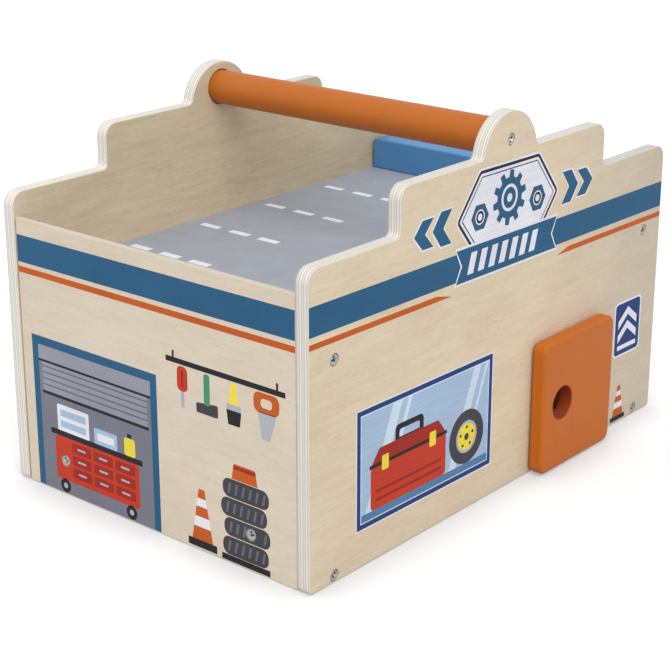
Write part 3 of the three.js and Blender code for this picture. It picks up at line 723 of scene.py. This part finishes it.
def ink(name, rgb):
    """Printed ink: the wood's fine streaks show faintly through it."""
    g = Finish(name)
    place = g.millimetres()
    streak = g.marks(place, INK_STREAK, 1)
    patch = g.marks(place, INK_PATCH)
    speck = g.marks(place, INK_SPECK)
    tone = g.weighted((streak, patch, speck), INK_TONE_SHARES)
    level = g.ramp(tone, *INK_MIDDLE)
    g.colour_from(g.mix(level, shaded(rgb, INK_DARK_SHARE), shaded(rgb, INK_LIGHT_SHARE, INK_LIFT)))
    roughness = g.ramp(streak, *INK_ROUGH_RANGE, *INK_ROUGHNESS)
    g.surface(roughness, streak, INK_RELIEF)
    g.set("Specular IOR Level", INK_GLOSS)
    return g.material


def zinc(name):
    """Bright zinc plating with fine scratches and a slight warm and cool change."""
    g = Finish(name)
    place = g.millimetres()
    cloud = g.span(g.marks(place, ZINC_CLOUD), *ZINC_CLOUD_RANGE)
    grime = g.span(g.marks(place, ZINC_GRIME_MARK), *ZINC_GRIME_RANGE, 0.0, ZINC_GRIME_SHARE)
    g.colour_from(g.mix(grime, g.mix(cloud, colour(ZINC_COOL), colour(ZINC_WARM)), colour(ZINC_GRIME)))
    scratch = g.marks(place, ZINC_SCRATCH, 2)
    roughness = g.ramp(scratch, *NOISE_MIDDLE, *ZINC_ROUGHNESS)
    g.surface(roughness, scratch, ZINC_RELIEF)
    g.set("Metallic", 1.0)
    return g.material


# Outlines
def arc(x, y, radius, start, end, steps):
    angles = [start + (end - start) * i / steps for i in range(steps + 1)]
    return [Vector((x + radius * math.cos(a), y + radius * math.sin(a))) for a in angles]


def rounded(corners, steps=STEPS):
    """An outline from corners (u, v, radius), run anticlockwise. A corner without a radius is sharp."""
    spots = [Vector(c[:2]) for c in corners]
    points = []
    for i, corner in enumerate(corners):
        spot = spots[i]
        if len(corner) < 3:
            points.append(spot)
            continue
        radius = corner[2]
        a = (spots[i - 1] - spot).normalized()
        b = (spots[(i + 1) % len(spots)] - spot).normalized()
        half = a.angle(b) / 2
        centre = spot + (a + b).normalized() * (radius / math.sin(half))
        first = spot + a * (radius / math.tan(half)) - centre
        last = spot + b * (radius / math.tan(half)) - centre
        start = math.atan2(first.y, first.x)
        turn = (math.atan2(last.y, last.x) - start + math.pi) % (2 * math.pi) - math.pi
        points += arc(centre.x, centre.y, radius, start, start + turn, steps)
    return points


def rect(left, foot, right, top, radius=0, steps=STEPS):
    places = ((left, foot), (right, foot), (right, top), (left, top))
    return rounded([(*place, radius) if radius else place for place in places], steps)


def circle(u, v, radius, sides):
    return arc(u, v, radius, 0, 2 * math.pi, sides)[:-1]


def hole(points):
    return points[::-1]


def inset(points, distance):
    """The outline moved into the material, which lies to its left."""
    if not distance:
        return points
    moved = []
    for i, spot in enumerate(points):
        a = (spot - points[i - 1]).normalized()
        b = (points[(i + 1) % len(points)] - spot).normalized()
        left_a = Vector((-a.y, a.x))
        left_b = Vector((-b.y, b.x))
        moved.append(spot + (left_a + left_b) * (distance / (1 + left_a.dot(left_b))))
    return moved


# Solids from outlines
def facing(origin, u, v, w):
    """Places (u, v, depth) on a face: u and v run along it from its origin, and w out of it."""
    turn = Matrix((u, v, w)).transposed().to_4x4()
    turn.translation = origin
    return METRES @ turn


def along_x(start):
    """A place on the handle's line for a turned solid, which runs along X from there."""
    spot = Matrix.Translation((start, 0, HANDLE_HEIGHT))
    return METRES @ spot @ Matrix.Rotation(math.pi / 2, 4, "Y")


def add_slab(bm, loops, thick, edge, place, steps=FEW_STEPS, slot=0):
    """Adds a closed slab. Loops are (outline, rounding), the outer one first, and holes run clockwise."""
    bottoms, tops, flat = [], [], []
    for points, rounding in loops:
        rounding = edge if rounding is None else rounding
        turns = [math.pi / 2 * i / steps for i in range(steps + 1)] if rounding else [math.pi / 2]
        rise = [(rounding * (1 - math.sin(t)), rounding * (1 - math.cos(t))) for t in turns]
        levels = rise + [(d, thick - h) for d, h in reversed(rise)]
        rings = []
        for distance, height in levels:
            rings.append([bm.verts.new(place @ Vector((*p, height))) for p in inset(points, distance)])
        for low, high in zip(rings, rings[1:]):
            for i in range(len(low)):
                j = (i + 1) % len(low)
                bm.faces.new((low[i], low[j], high[j], high[i])).material_index = slot
        bottoms += rings[0]
        tops += rings[-1]
        flat.append([p.to_3d() for p in inset(points, rounding)])
    for corners in (bottoms, tops):
        for triangle in geometry.tessellate_polygon(flat):
            bm.faces.new([corners[i] for i in triangle]).material_index = slot


def lathe(bm, profile, place, sides):
    """A closed turned solid round the local z axis from (radius, height) points that start and end on it."""
    rings = []
    for radius, height in profile:
        spots = circle(0, 0, radius, sides) if radius else [Vector((0, 0))]
        rings.append([bm.verts.new(place @ Vector((*p, height))) for p in spots])
    for low, high in zip(rings, rings[1:]):
        for i in range(sides):
            j = (i + 1) % sides
            corners = [low[i % len(low)], low[j % len(low)], high[j % len(high)], high[i % len(high)]]
            unique = list(dict.fromkeys(corners))
            if len(unique) > 2:
                bm.faces.new(unique)


def new_object(name, data):
    made = bpy.data.objects.new(name, data)
    bpy.context.scene.collection.objects.link(made)
    return made


def finish_mesh(name, bm, materials, body, smooth=True):
    bmesh.ops.recalc_face_normals(bm, faces=bm.faces)
    mesh = bpy.data.meshes.new(name)
    bm.to_mesh(mesh)
    bm.free()
    for material in materials:
        mesh.materials.append(material)
    piece = new_object(name, mesh)
    if smooth:
        soften(piece)
    if body:
        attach(piece, body)
    return piece


def even_normals(piece):
    weigh = piece.modifiers.new("Normals", "WEIGHTED_NORMAL")
    weigh.keep_sharp = True


def soften(piece):
    mesh = piece.data
    mesh.polygons.foreach_set("use_smooth", [True] * len(mesh.polygons))
    mesh.set_sharp_from_angle(angle=math.radians(SHARP_ANGLE))
    even_normals(piece)


def stand_for(node):
    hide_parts(node)


def plate(name, loops, thick, edge, place, material, body, steps=FEW_STEPS):
    bm = bmesh.new()
    add_slab(bm, loops, thick, edge, place, steps)
    return finish_mesh(name, bm, [material], body)


def carve(piece, cutter):
    """Cuts the cutter's solid out of the piece and leaves a plain mesh."""
    modifier = piece.modifiers.new("Carve", "BOOLEAN")
    modifier.object = cutter
    modifier.operation = "DIFFERENCE"
    modifier.solver = "EXACT"
    while piece.modifiers[0] != modifier:
        piece.modifiers.remove(piece.modifiers[0])
    graph = bpy.context.evaluated_depsgraph_get()
    carved = bpy.data.meshes.new_from_object(piece.evaluated_get(graph))
    piece.modifiers.clear()
    piece.data = carved
    bpy.data.objects.remove(cutter)
    soften(piece)


# Faces that pieces and prints are placed on
right_inside = facing((INNER, -HALF, 0), Y, Z, X)
left_outside = facing((INK_ROOM - OUTER, -HALF, 0), Y, Z, X)
right_face = facing((OUTER, -HALF, -PRINT_SLOPE_SHARE * HALF), Y + PRINT_SLOPE_SHARE * Z, Z, X)
left_face = facing((INK_ROOM - OUTER, HALF, 0), -Y, Z, -X)
wall_back = facing((0, WALL.back, 0), X, Z, -Y)
wall_face = facing((0, WALL.front, 0), X, Z, -Y)
kerb_back = facing((0, KERB.back, 0), X, Z, -Y)
door_back = facing((DOOR.left, 0, 0), Y, Z, X)
deck_face = facing((0, -HALF, DECK.top), X, Y, Z)

# Finishes
# The side panels carry painted shade along the toy, darker towards the back
ply_right = plywood("ply_right_panel", 0, midway(INNER, OUTER), 1, VENEER, VENEER_DARK, painted_shade=RIGHT_PAINTED_SHADE)
# The left panel: painted shade in its darker veneer
ply_left = plywood("ply_left_panel", 0, -midway(INNER, OUTER), 1, LEFT_VENEER_IN_SHADE, LEFT_DARK_IN_SHADE, painted_shade=LEFT_PAINTED_SHADE)
ply_wall = plywood("ply_front_wall", 1, midway(WALL.front, WALL.back), 0, WALL_VENEER, WALL_DARK,
                   WALL_PLIES, WALL_THICK, WALL_END)
ply_base = plywood("ply_base", 2, midway(BASE.bottom, BASE.top), 1, VENEER, VENEER_DARK)
ply_deck = plywood("ply_painted_deck", 2, midway(DECK.bottom, DECK.top), 0, VENEER, VENEER_DARK,
                   painted=DECK_GREY)
ply_lift = plywood("ply_lift_board", 0, midway(LIFT_BOARD.left, LIFT_BOARD.right), 2, VENEER, VENEER_DARK,
                   thick=LIFT_THICK)
batten_wood = solid_birch("birch_batten", 0, VENEER, VENEER_DARK)
rail_wood = solid_birch("birch_rail", 2, VENEER, RAIL_DARK)
handle_paint = paint("orange_handle_paint", HANDLE_ORANGE, HANDLE_HIGHLIGHT_AND_WEAR, 0)
gusset_paint = paint("orange_brushed_paint", GUSSET_ORANGE, GUSSET_HIGHLIGHT_AND_WEAR, 2)
door_paint = paint("orange_door_paint", DOOR_ORANGE, DOOR_HIGHLIGHT_AND_WEAR, 2,
                   bore=(DOOR_HOLE_Y, DOOR_HOLE_HEIGHT, BORE_SHADE_REACH))
kerb_paint = paint("blue_brushed_paint", KERB_BLUE, KERB_HIGHLIGHT_AND_WEAR, 0)
deck_paint = paint("grey_deck_paint", DECK_GREY, DECK_HIGHLIGHT_AND_WEAR, 1, DECK_ROUGHNESS)
steel = zinc("zinc_plating")


# Case
def panel_outline():
    """The stepped outline with the handle's ear let into its top."""
    high_back = (STEP_FROM_END, HIGH_SHOULDER, SHOULDER_RADIUS)
    corners = [
        (0, 0, FOOT_RADIUS),
        (LENGTH, 0, FOOT_RADIUS),
        (LENGTH, LOW_SHOULDER, SHOULDER_RADIUS),
        (LENGTH - STEP_FROM_END, LOW_SHOULDER, FILLET),
        (LENGTH - STEP_FROM_END, HIGH_SHOULDER, SHOULDER_RADIUS),
        high_back,
        (STEP_FROM_END, LOW_SHOULDER, FILLET),
        (0, LOW_SHOULDER, SHOULDER_RADIUS),
    ]
    top = HIGH_SHOULDER + FILLET
    rise = top - EAR_HEIGHT
    run = math.sqrt((EAR_RADIUS + FILLET) ** 2 - rise ** 2)
    foot = math.atan2(rise, run)
    ear = arc(HALF + run, top, FILLET, -math.pi / 2, foot - math.pi, STEPS)
    ear += arc(HALF, EAR_HEIGHT, EAR_RADIUS, foot, math.pi - foot, EAR_STEPS)[1:-1]
    ear += arc(HALF - run, top, FILLET, -foot, -math.pi / 2, STEPS)
    outline = rounded(corners, MANY_STEPS)
    before_ear = corners.index(high_back) * (MANY_STEPS + 1)
    return outline[:before_ear] + ear + outline[before_ear:]


def side_screw_spots(side):
    """Where the screws of a side panel sit on it."""
    boxes = [box_of(f"{kind}_screw_{side}_{end}") for kind in ("deck", "base") for end in ("front", "back")]
    boxes.append(box_of(f"handle_screw_{side}"))
    return [(midway(box.front, box.back) + HALF, midway(box.bottom, box.top)) for box in boxes]


def screw_hole(u, v):
    return (hole(circle(u, v, HOLE_RADIUS, SMALL_RING)), 0)


def make_panel(side, place, thick, material, socket_start, cuts):
    loops = [(panel_outline(), None)] + cuts + [screw_hole(*spot) for spot in side_screw_spots(side)]
    panel = plate(f"ply_side_{side}", loops, thick, PANEL_ROUND, place, material, None)
    radius = HANDLE_RADIUS + SOCKET_CLEARANCE
    depth = SOCKET_DEPTH + OVERRUN
    bm = bmesh.new()
    lathe(bm, [(0, 0), (radius, 0), (radius, depth), (0, depth)], along_x(socket_start), DOWEL_RING)
    carve(panel, finish_mesh("cutter", bm, [], None, False))
    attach(panel, "garage")
    stand_for(f"side_panel_{side}")


def doorway():
    front = DOOR.front + HALF + DOOR_LAP
    back = DOOR.back + HALF - DOOR_LAP
    top = DOOR.top - DOOR_LAP
    corners = [(front, BASE.top), (back, BASE.top), (back, top, DOORWAY_CORNER), (front, top, DOORWAY_CORNER)]
    return (hole(rounded(corners, MANY_STEPS)), DOORWAY_ROUND)


def make_wall():
    outline = rect(WALL.left, WALL.bottom, WALL.right, WALL.top, WALL_CORNER, FEW_STEPS)
    loops = [(outline, None)] + [screw_hole(*spot) for spot in WALL_SCREWS]
    wall = plate("front_wall_board", loops, WALL_THICK, WALL_ROUND, wall_back, ply_wall, "garage")
    stand_for("front_wall")


def make_kerb():
    feet = [(KERB.left, KERB.bottom), (KERB.right, KERB.bottom)]
    tops = [(KERB.right, KERB.top, KERB_CORNER), (KERB.left, KERB.top, KERB_CORNER)]
    loops = [(rounded(feet + tops), None)]
    thick = KERB.back - KERB.front
    kerb = plate("painted_kerb", loops, thick, KERB_ROUND, kerb_back, kerb_paint, "garage", SOME_STEPS)
    stand_for("rear_kerb")


def make_handle():
    neck = HANDLE_RADIUS - HANDLE_ROUND
    bend = arc(neck, HANDLE_ROUND, HANDLE_ROUND, -math.pi / 2, 0, SOME_STEPS)
    profile = [(0, HANDLE.left)] + [(p.x, HANDLE.left + p.y) for p in bend]
    profile += [(p.x, HANDLE.right - p.y) for p in reversed(bend)] + [(0, HANDLE.right)]
    bm = bmesh.new()
    lathe(bm, profile, along_x(0), DOWEL_RING)
    dowel = finish_mesh("handle_dowel", bm, [handle_paint], "garage")
    stand_for("carry_handle")


def make_door():
    finger_hole = hole(circle(DOOR_HOLE_Y, DOOR_HOLE_HEIGHT, DOOR_HOLE_RADIUS, DOOR_HOLE_RING))
    loops = [
        (rect(DOOR.front, DOOR.bottom, DOOR.back, DOOR.top, DOOR_CORNER, DOOR_STEPS), None),
        (finger_hole, DOOR_HOLE_ROUND),
    ]
    thick = DOOR.right - DOOR.left
    door = plate("door_slab", loops, thick, DOOR_ROUND, door_back, door_paint, "door", EDGE_STEPS)
    stand_for("side_door")


# Screws
def screw_mesh(length):
    """A countersunk screw with its head's face at z = 0 and a tapered cross recess."""
    bm = bmesh.new()
    profile = [
        (0, -length),
        (SHANK_RADIUS, TIP_HEIGHT - length),
        (SHANK_RADIUS, -HEAD_HEIGHT),
        (HEAD_RADIUS, -HEAD_RIM),
        (HEAD_RADIUS - HEAD_ROUND, 0),
        (0, 0),
    ]
    lathe(bm, profile, METRES, SCREW_RING)
    screw = finish_mesh("screw", bm, [steel], None)
    for turn in (0, math.pi / 2):
        carve(screw, recess_cutter(METRES @ Matrix.Rotation(turn, 4, "Z")))
    mesh = screw.data
    bpy.data.objects.remove(screw)
    return mesh


def recess_cutter(place):
    """One bar of the cross, narrower at its foot than at its mouth."""
    bm = bmesh.new()
    corners = []
    for z, long_half, wide_half in zip((-RECESS_DEPTH, RECESS_RISE), RECESS_LONG, RECESS_WIDE):
        for a, b in ((-1, -1), (1, -1), (1, 1), (-1, 1)):
            corners.append(bm.verts.new(place @ Vector((a * long_half, b * wide_half, z))))
    for face in ((0, 1, 2, 3), (4, 5, 6, 7), (0, 1, 5, 4), (1, 2, 6, 5), (2, 3, 7, 6), (3, 0, 4, 7)):
        bm.faces.new([corners[i] for i in face])
    return finish_mesh("cutter", bm, [], None, False)


def screw_way(name):
    """The way a screw's head faces."""
    if name.startswith("wall"):
        return -Y
    if name.startswith("kerb"):
        return -Z
    return X if "right" in name else -X


def make_screws():
    meshes = {}
    names = [n for n in sorted(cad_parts) if "_screw_" in n and not n.startswith("hinge")]
    for i, name in enumerate(names):
        low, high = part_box(name)
        length = round(max(high - low) / MM, DECIMALS)
        if length not in meshes:
            meshes[length] = screw_mesh(length)
        mesh = meshes[length].copy()
        mesh.transform(Matrix.Rotation(FIRST_TURN + NEXT_TURN * i, 4, "Z"))
        way = screw_way(name)
        face = Matrix.Translation((low + high) / 2 + way * (length * MM / 2))
        screw = new_object(f"detailed_{name}", mesh)
        screw.matrix_world = face @ way.to_track_quat("Z", "Y").to_matrix().to_4x4()
        even_normals(screw)
        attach(screw, "garage")
        stand_for(name)


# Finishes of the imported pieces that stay
def finish_packed(start, material):
    """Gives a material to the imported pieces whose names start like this."""
    for name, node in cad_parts.items():
        if name.startswith(start):
            for slot in node.material_slots:
                slot.material = material


# Prints
inks = {}


def ink_of(rgb):
    if rgb not in inks:
        inks[rgb] = ink("ink_%d_%d_%d" % rgb, rgb)
    return inks[rgb]


def print_piece(name, place, shapes):
    """Shapes are (level, ink, outline, *holes), each a slab of ink on the wood."""
    bm = bmesh.new()
    colours = list(dict.fromkeys(shape[1] for shape in shapes))
    for level, rgb, outline, *holes in shapes:
        loops = [(outline, 0)] + [(hole(h), 0) for h in holes]
        add_slab(bm, loops, INK_LAYER * (level + 1), 0, place, slot=colours.index(rgb))
    finish_mesh(name, bm, [ink_of(c) for c in colours], "garage", smooth=False)


def bars(rows):
    return [(level, rgb, rect(*places)) for level, rgb, *places in rows]


def forms(rows):
    return [(level, rgb, rounded(corners, *steps)) for level, rgb, corners, *steps in rows]


def discs(place, rows):
    return [(level, rgb, circle(*place, radius, sides)) for level, rgb, radius, sides in rows]


def moved_bar(bar, u, v):
    level, rgb, left, foot, right, top, *corner = bar
    return (level, rgb, left + u, foot + v, right + u, top + v, *corner)


def moved_form(form, u, v):
    level, rgb, corners, *steps = form
    return (level, rgb, [(a + u, b + v, *radius) for a, b, *radius in corners], *steps)


def covers(values, place, reach):
    return min(values) < place - reach and max(values) > place + reach


def clear_of_screws(shapes):
    """The same shapes, with a hole where one covers a wall screw."""
    cleared = []
    for shape in shapes:
        for u, v in WALL_SCREWS:
            wide = covers([p.x for p in shape[2]], u, INK_HOLE_RADIUS)
            high = covers([p.y for p in shape[2]], v, INK_HOLE_RADIUS)
            if wide and high:
                shape = (*shape, circle(u, v, INK_HOLE_RADIUS, SMALL_RING))
        cleared.append(shape)
    return cleared


def cone_shapes(u, v, width, height):
    """A traffic cone that stands on (u, v)."""
    base = CONE_BASE_SHARE * height
    foot_half = CONE_FOOT_SHARE * width
    tip_half = CONE_TIP_SHARE * width

    def slice_of(low, high):
        a = foot_half + (tip_half - foot_half) * low
        b = foot_half + (tip_half - foot_half) * high
        y0 = v + base + (height - base) * low
        y1 = v + base + (height - base) * high
        return rounded([(u - a, y0), (u + a, y0), (u + b, y1), (u - b, y1)])

    foot = (0, BLACK, rect(u - width / 2, v, u + width / 2, v + base, CONE_CORNER, FEW_STEPS))
    bands = [(1, WHITE, slice_of(*shares)) for shares in CONE_BAND_SHARES]
    return [foot, (0, ORANGE, slice_of(0, 1))] + bands


def print_shutter_bay():
    """A bay with its shutter half up, and a tool trolley in it."""
    rows = SHUTTER_BARS + [moved_bar(SLAT_BAR, 0, i * SLAT_PITCH) for i in range(SLATS)] + TROLLEY_BARS
    for column in range(DRAWER_COLUMNS):
        for row in range(DRAWER_ROWS):
            u = column * DRAWER_PITCH[0]
            v = row * DRAWER_PITCH[1]
            rows += [moved_bar(bar, u, v) for bar in DRAWER_BARS]
    shapes = bars(rows)
    for place in WHEEL_PLACES:
        shapes += discs(place, WHEEL_DISCS)
    print_piece("print_shutter_bay", wall_face, clear_of_screws(shapes + bars(CRATE_BARS)))


def print_tool_rail():
    grip = (0, ORANGE, rect(*SAW_GRIP), rect(*SAW_GRIP_HOLE))
    print_piece("print_tool_rail", wall_face, bars(TOOL_BARS) + forms(TOOL_FORMS) + [grip])


def print_tyres_and_cone():
    """A stack of tyres with a funnel on top, and a cone beside it. No tread lies near the screw."""
    screw = WALL_SCREWS[1][0]
    shapes = bars([STACK_FOOT])
    for i, shift in enumerate(STACK_SHIFTS):
        rise = i * STACK_PITCH
        shapes += bars([moved_bar(STACK_TYRE, shift, rise)])
        for k in range(TREADS):
            u = TREAD_START + k * TREAD_PITCH
            if i == SCREWED_TYRE and abs(u - screw) < TREAD_FROM_SCREW:
                continue
            shapes += forms([moved_form(TREAD_FORM, u + shift, rise)])
    shapes += cone_shapes(*FRONT_CONE) + forms([FUNNEL_FORM]) + bars([FUNNEL_BAR])
    print_piece("print_tyres_and_cone", wall_face, clear_of_screws(shapes))


def print_window():
    """A window with a toolbox and a wheel behind its panes."""
    left, foot, right, top = WINDOW
    shapes = [(level, rgb, rect(left + d, foot + d, right - d, top - d)) for level, rgb, d in WINDOW_RIMS]
    low, high = BEAM_ENDS
    for start, width in BEAMS:
        lean = start + BEAM_LEAN
        corners = [(start, low), (start + width, low), (lean + width, high), (lean, high)]
        shapes.append((4, SHINE, rounded(corners)))
    shapes += bars([SILL_BAR, TOOLBOX_BODY]) + forms([TOOLBOX_LID]) + bars(TOOLBOX_BARS)
    shapes.append((6, BLACK, rounded(TOOLBOX_GRIP), rounded(TOOLBOX_GRIP_HOLE, SOME_STEPS)))
    shapes += discs(TYRE_PLACE, TYRE_DISCS)
    for spot in arc(*TYRE_PLACE, BOLT_FROM_MIDDLE, BOLT_TURN, BOLT_TURN + 2 * math.pi, BOLTS)[:-1]:
        shapes += discs(spot, BOLT_DISCS)
    print_piece("print_window", right_face, shapes)


def cog_outline():
    points = []
    for i in range(COG_TEETH):
        for share, radius in TOOTH_SHARES:
            angle = 2 * math.pi * (i + share) / COG_TEETH + COG_TURN
            reach = COG_RADII[radius]
            points.append(Vector((HALF + reach * math.cos(angle), COG_HEIGHT + reach * math.sin(angle))))
    return points


def chevron(side, from_middle, half_height, rim):
    """A chevron that points away from the badge, grown by a rim."""
    u = HALF + side * from_middle
    thick = CHEVRON_HALF_THICK + rim
    foot = CHEVRON_HEIGHT - half_height - rim
    top = CHEVRON_HEIGHT + half_height + rim
    spots = [
        (u - side * thick, foot),
        (u + side * thick, foot),
        (u + side * (thick + CHEVRON_LEAN), CHEVRON_HEIGHT),
        (u + side * thick, top),
        (u - side * thick, top),
        (u - side * (thick - CHEVRON_LEAN), CHEVRON_HEIGHT),
    ]
    return rounded(spots if side > 0 else spots[::-1])


def ribbon(rim):
    """A ribbon with notched ends, grown by a rim."""
    half, notch = RIBBON_HALVES
    foot, waist, top = RIBBON_HEIGHTS
    return rounded([
        (HALF - half - rim, foot - rim),
        (HALF + half + rim, foot - rim),
        (HALF + notch + rim, waist),
        (HALF + half + rim, top + rim),
        (HALF - half - rim, top + rim),
        (HALF - notch - rim, waist),
    ])


def print_badge():
    """A plaque with a cog and two nuts, chevrons beside it and a barred ribbon over its foot."""
    wide, neck = PLAQUE_HALVES
    foot, waist, top = PLAQUE_HEIGHTS
    spots = ((-wide, waist), (-neck, foot), (neck, foot), (wide, waist), (neck, top), (-neck, top))
    plaque = rounded([(HALF + u, v, PLAQUE_CORNER) for u, v in spots], SOME_STEPS)
    shapes = [(level, rgb, inset(plaque, distance)) for level, rgb, distance in PLAQUE_RIMS]
    shapes += [(6, BLUE, cog_outline())] + discs((HALF, COG_HEIGHT), COG_DISCS)
    for side in (-1, 1):
        shapes += discs((HALF + side * NUT_FROM_MIDDLE, NUT_HEIGHT), NUT_DISCS)
        for from_middle, half_height in CHEVRONS:
            shapes.append((0, WHITE, chevron(side, from_middle, half_height, CHEVRON_RIM)))
            shapes.append((1, BLUE, chevron(side, from_middle, half_height, 0)))
    shapes += [(10, WHITE, ribbon(RIBBON_RIM)), (11, BLUE, ribbon(0))]
    shapes += forms([moved_form(RIBBON_BAR, i * RIBBON_BAR_PITCH, 0) for i in range(RIBBON_BARS)])
    print_piece("print_badge", right_face, shapes)


def print_sign():
    arrows = [moved_form(SIGN_ARROW, 0, i * SIGN_ARROW_PITCH) for i in range(SIGN_ARROWS)]
    print_piece("print_sign", right_face, bars(SIGN_BARS) + forms(arrows))


def print_lane_dashes():
    half = DASH_WIDTH / 2
    dashes = []
    for row in DASH_ROWS:
        for start in DASH_STARTS:
            dashes.append((0, DASH_WHITE, rect(start, row - half, start + DASH_LENGTH, row + half)))
    print_piece("print_lane_dashes", deck_face, dashes)


# Floor, light and camera
def make_world():
    """A soft white world that is seen as plain white."""
    world = bpy.data.worlds.new("studio")
    g = Graph(world)
    soft = g.add("ShaderNodeBackground", {"Color": FULL_WHITE, "Strength": WORLD_LIGHT})
    seen = g.add("ShaderNodeBackground", {"Color": FULL_WHITE, "Strength": 1})
    both = g.add("ShaderNodeMixShader", {0: g.seen_share(), 1: soft.outputs[0], 2: seen.outputs[0]})
    g.add("ShaderNodeOutputWorld", {"Surface": both.outputs[0]})
    bpy.context.scene.world = world


def make_floor():
    """A pale floor whose seen colour is lifted to white, so that only the object's shadow shows on it. A
    painted contact shadow darkens its colour and lift near the object.
    """
    g = Finish("pale_floor")
    place = g.millimetres()
    # Painted contact shadow: ambient occlusion darkens the floor's colour and lift near the object
    shadow_occlusion = g.add("ShaderNodeAmbientOcclusion", {"Distance": PAINTED_SHADOW_REACH * MM}, samples=PAINTED_SHADOW_SAMPLES)
    painted_shadow = g.ramp(shadow_occlusion.outputs["AO"], *PAINTED_SHADOW_OPEN_SHARES, *PAINTED_SHADOW_TONES)
    tone = g.ramp(g.marks(place, FLOOR_CLOUD), 0.0, 1.0, *FLOOR_TONES)
    g.colour_from(g.math("MULTIPLY", tone, painted_shadow))
    g.set("Roughness", FLOOR_ROUGHNESS)
    g.set("Specular IOR Level", 0.0)
    lift = g.math("MULTIPLY", g.seen_share(), FLOOR_LIFT)
    strength = g.math("MULTIPLY", lift, painted_shadow)
    glow = g.add("ShaderNodeEmission", {"Color": FULL_WHITE, "Strength": strength})
    both = g.add("ShaderNodeAddShader", {0: g.shader.outputs[0], 1: glow.outputs[0]})
    g.link(both.outputs[0], g.out.inputs["Surface"])
    bm = bmesh.new()
    bmesh.ops.create_grid(bm, x_segments=1, y_segments=1, size=FLOOR_HALF * MM)
    floor = finish_mesh("floor", bm, [g.material], None, smooth=False)
    floor.location.z = -FLOOR_DROP * MM


def make_lamp(name, toward, strength, spread):
    lamp = bpy.data.lights.new(name, "SUN")
    lamp.energy = strength
    lamp.angle = math.radians(spread)
    new_object(name, lamp).rotation_euler = Vector(toward).to_track_quat("Z", "Y").to_euler()


def make_camera():
    data = bpy.data.cameras.new("camera")
    data.sensor_width = CAMERA_SENSOR
    data.lens = CAMERA_LENS
    data.shift_y = CAMERA_SHIFT_SHARE
    data.clip_start = CAMERA_CLIP[0] * MM
    data.clip_end = CAMERA_CLIP[1] * MM
    camera = new_object("camera", data)
    azimuth = math.radians(CAMERA_AZIMUTH)
    elevation = math.radians(CAMERA_ELEVATION)
    level = Vector((math.sin(azimuth), -math.cos(azimuth), 0))
    back = level * math.cos(elevation) + Z * math.sin(elevation)
    camera.location = Vector(CAMERA_PLACE) * MM
    camera.rotation_euler = (-back).to_track_quat("-Z", "Y").to_euler()
    bpy.context.scene.camera = camera


# The toy
make_panel("right", right_inside, PANEL_THICK, ply_right, INNER - OVERRUN, [doorway()])
make_panel("left", left_outside, PANEL_THICK - INK_ROOM, ply_left, -INNER - SOCKET_DEPTH, [])
make_wall()
make_kerb()
make_handle()
make_door()
make_screws()

finish_packed("base_board", ply_base)
finish_packed("roof_deck", ply_deck)
finish_packed("front_batten", batten_wood)
finish_packed("hinge_", steel)
finish_packed("lift_board", ply_lift)
finish_packed("lift_platform", deck_paint)
finish_packed("lift_gusset_", gusset_paint)
finish_packed(("lift_rail_", "lift_cover_", "lift_stop_"), rail_wood)

print_shutter_bay()
print_tool_rail()
print_tyres_and_cone()
print_piece("print_front_stripes", wall_face, forms(FRONT_STRIPES))
print_piece("print_side_stripes", right_face, bars([SIDE_STRIPE]) + forms(SIDE_TIPS))
print_window()
print_badge()
print_sign()
print_piece("print_side_cone", right_face, cone_shapes(*SIDE_CONE))
print_piece("print_left_stripes", left_face, bars(LEFT_STRIPES))
print_lane_dashes()

# The studio
make_world()
make_floor()
for lamp in LAMPS:
    make_lamp(*lamp)
make_camera()
bpy.context.scene.view_settings.view_transform = "Standard"
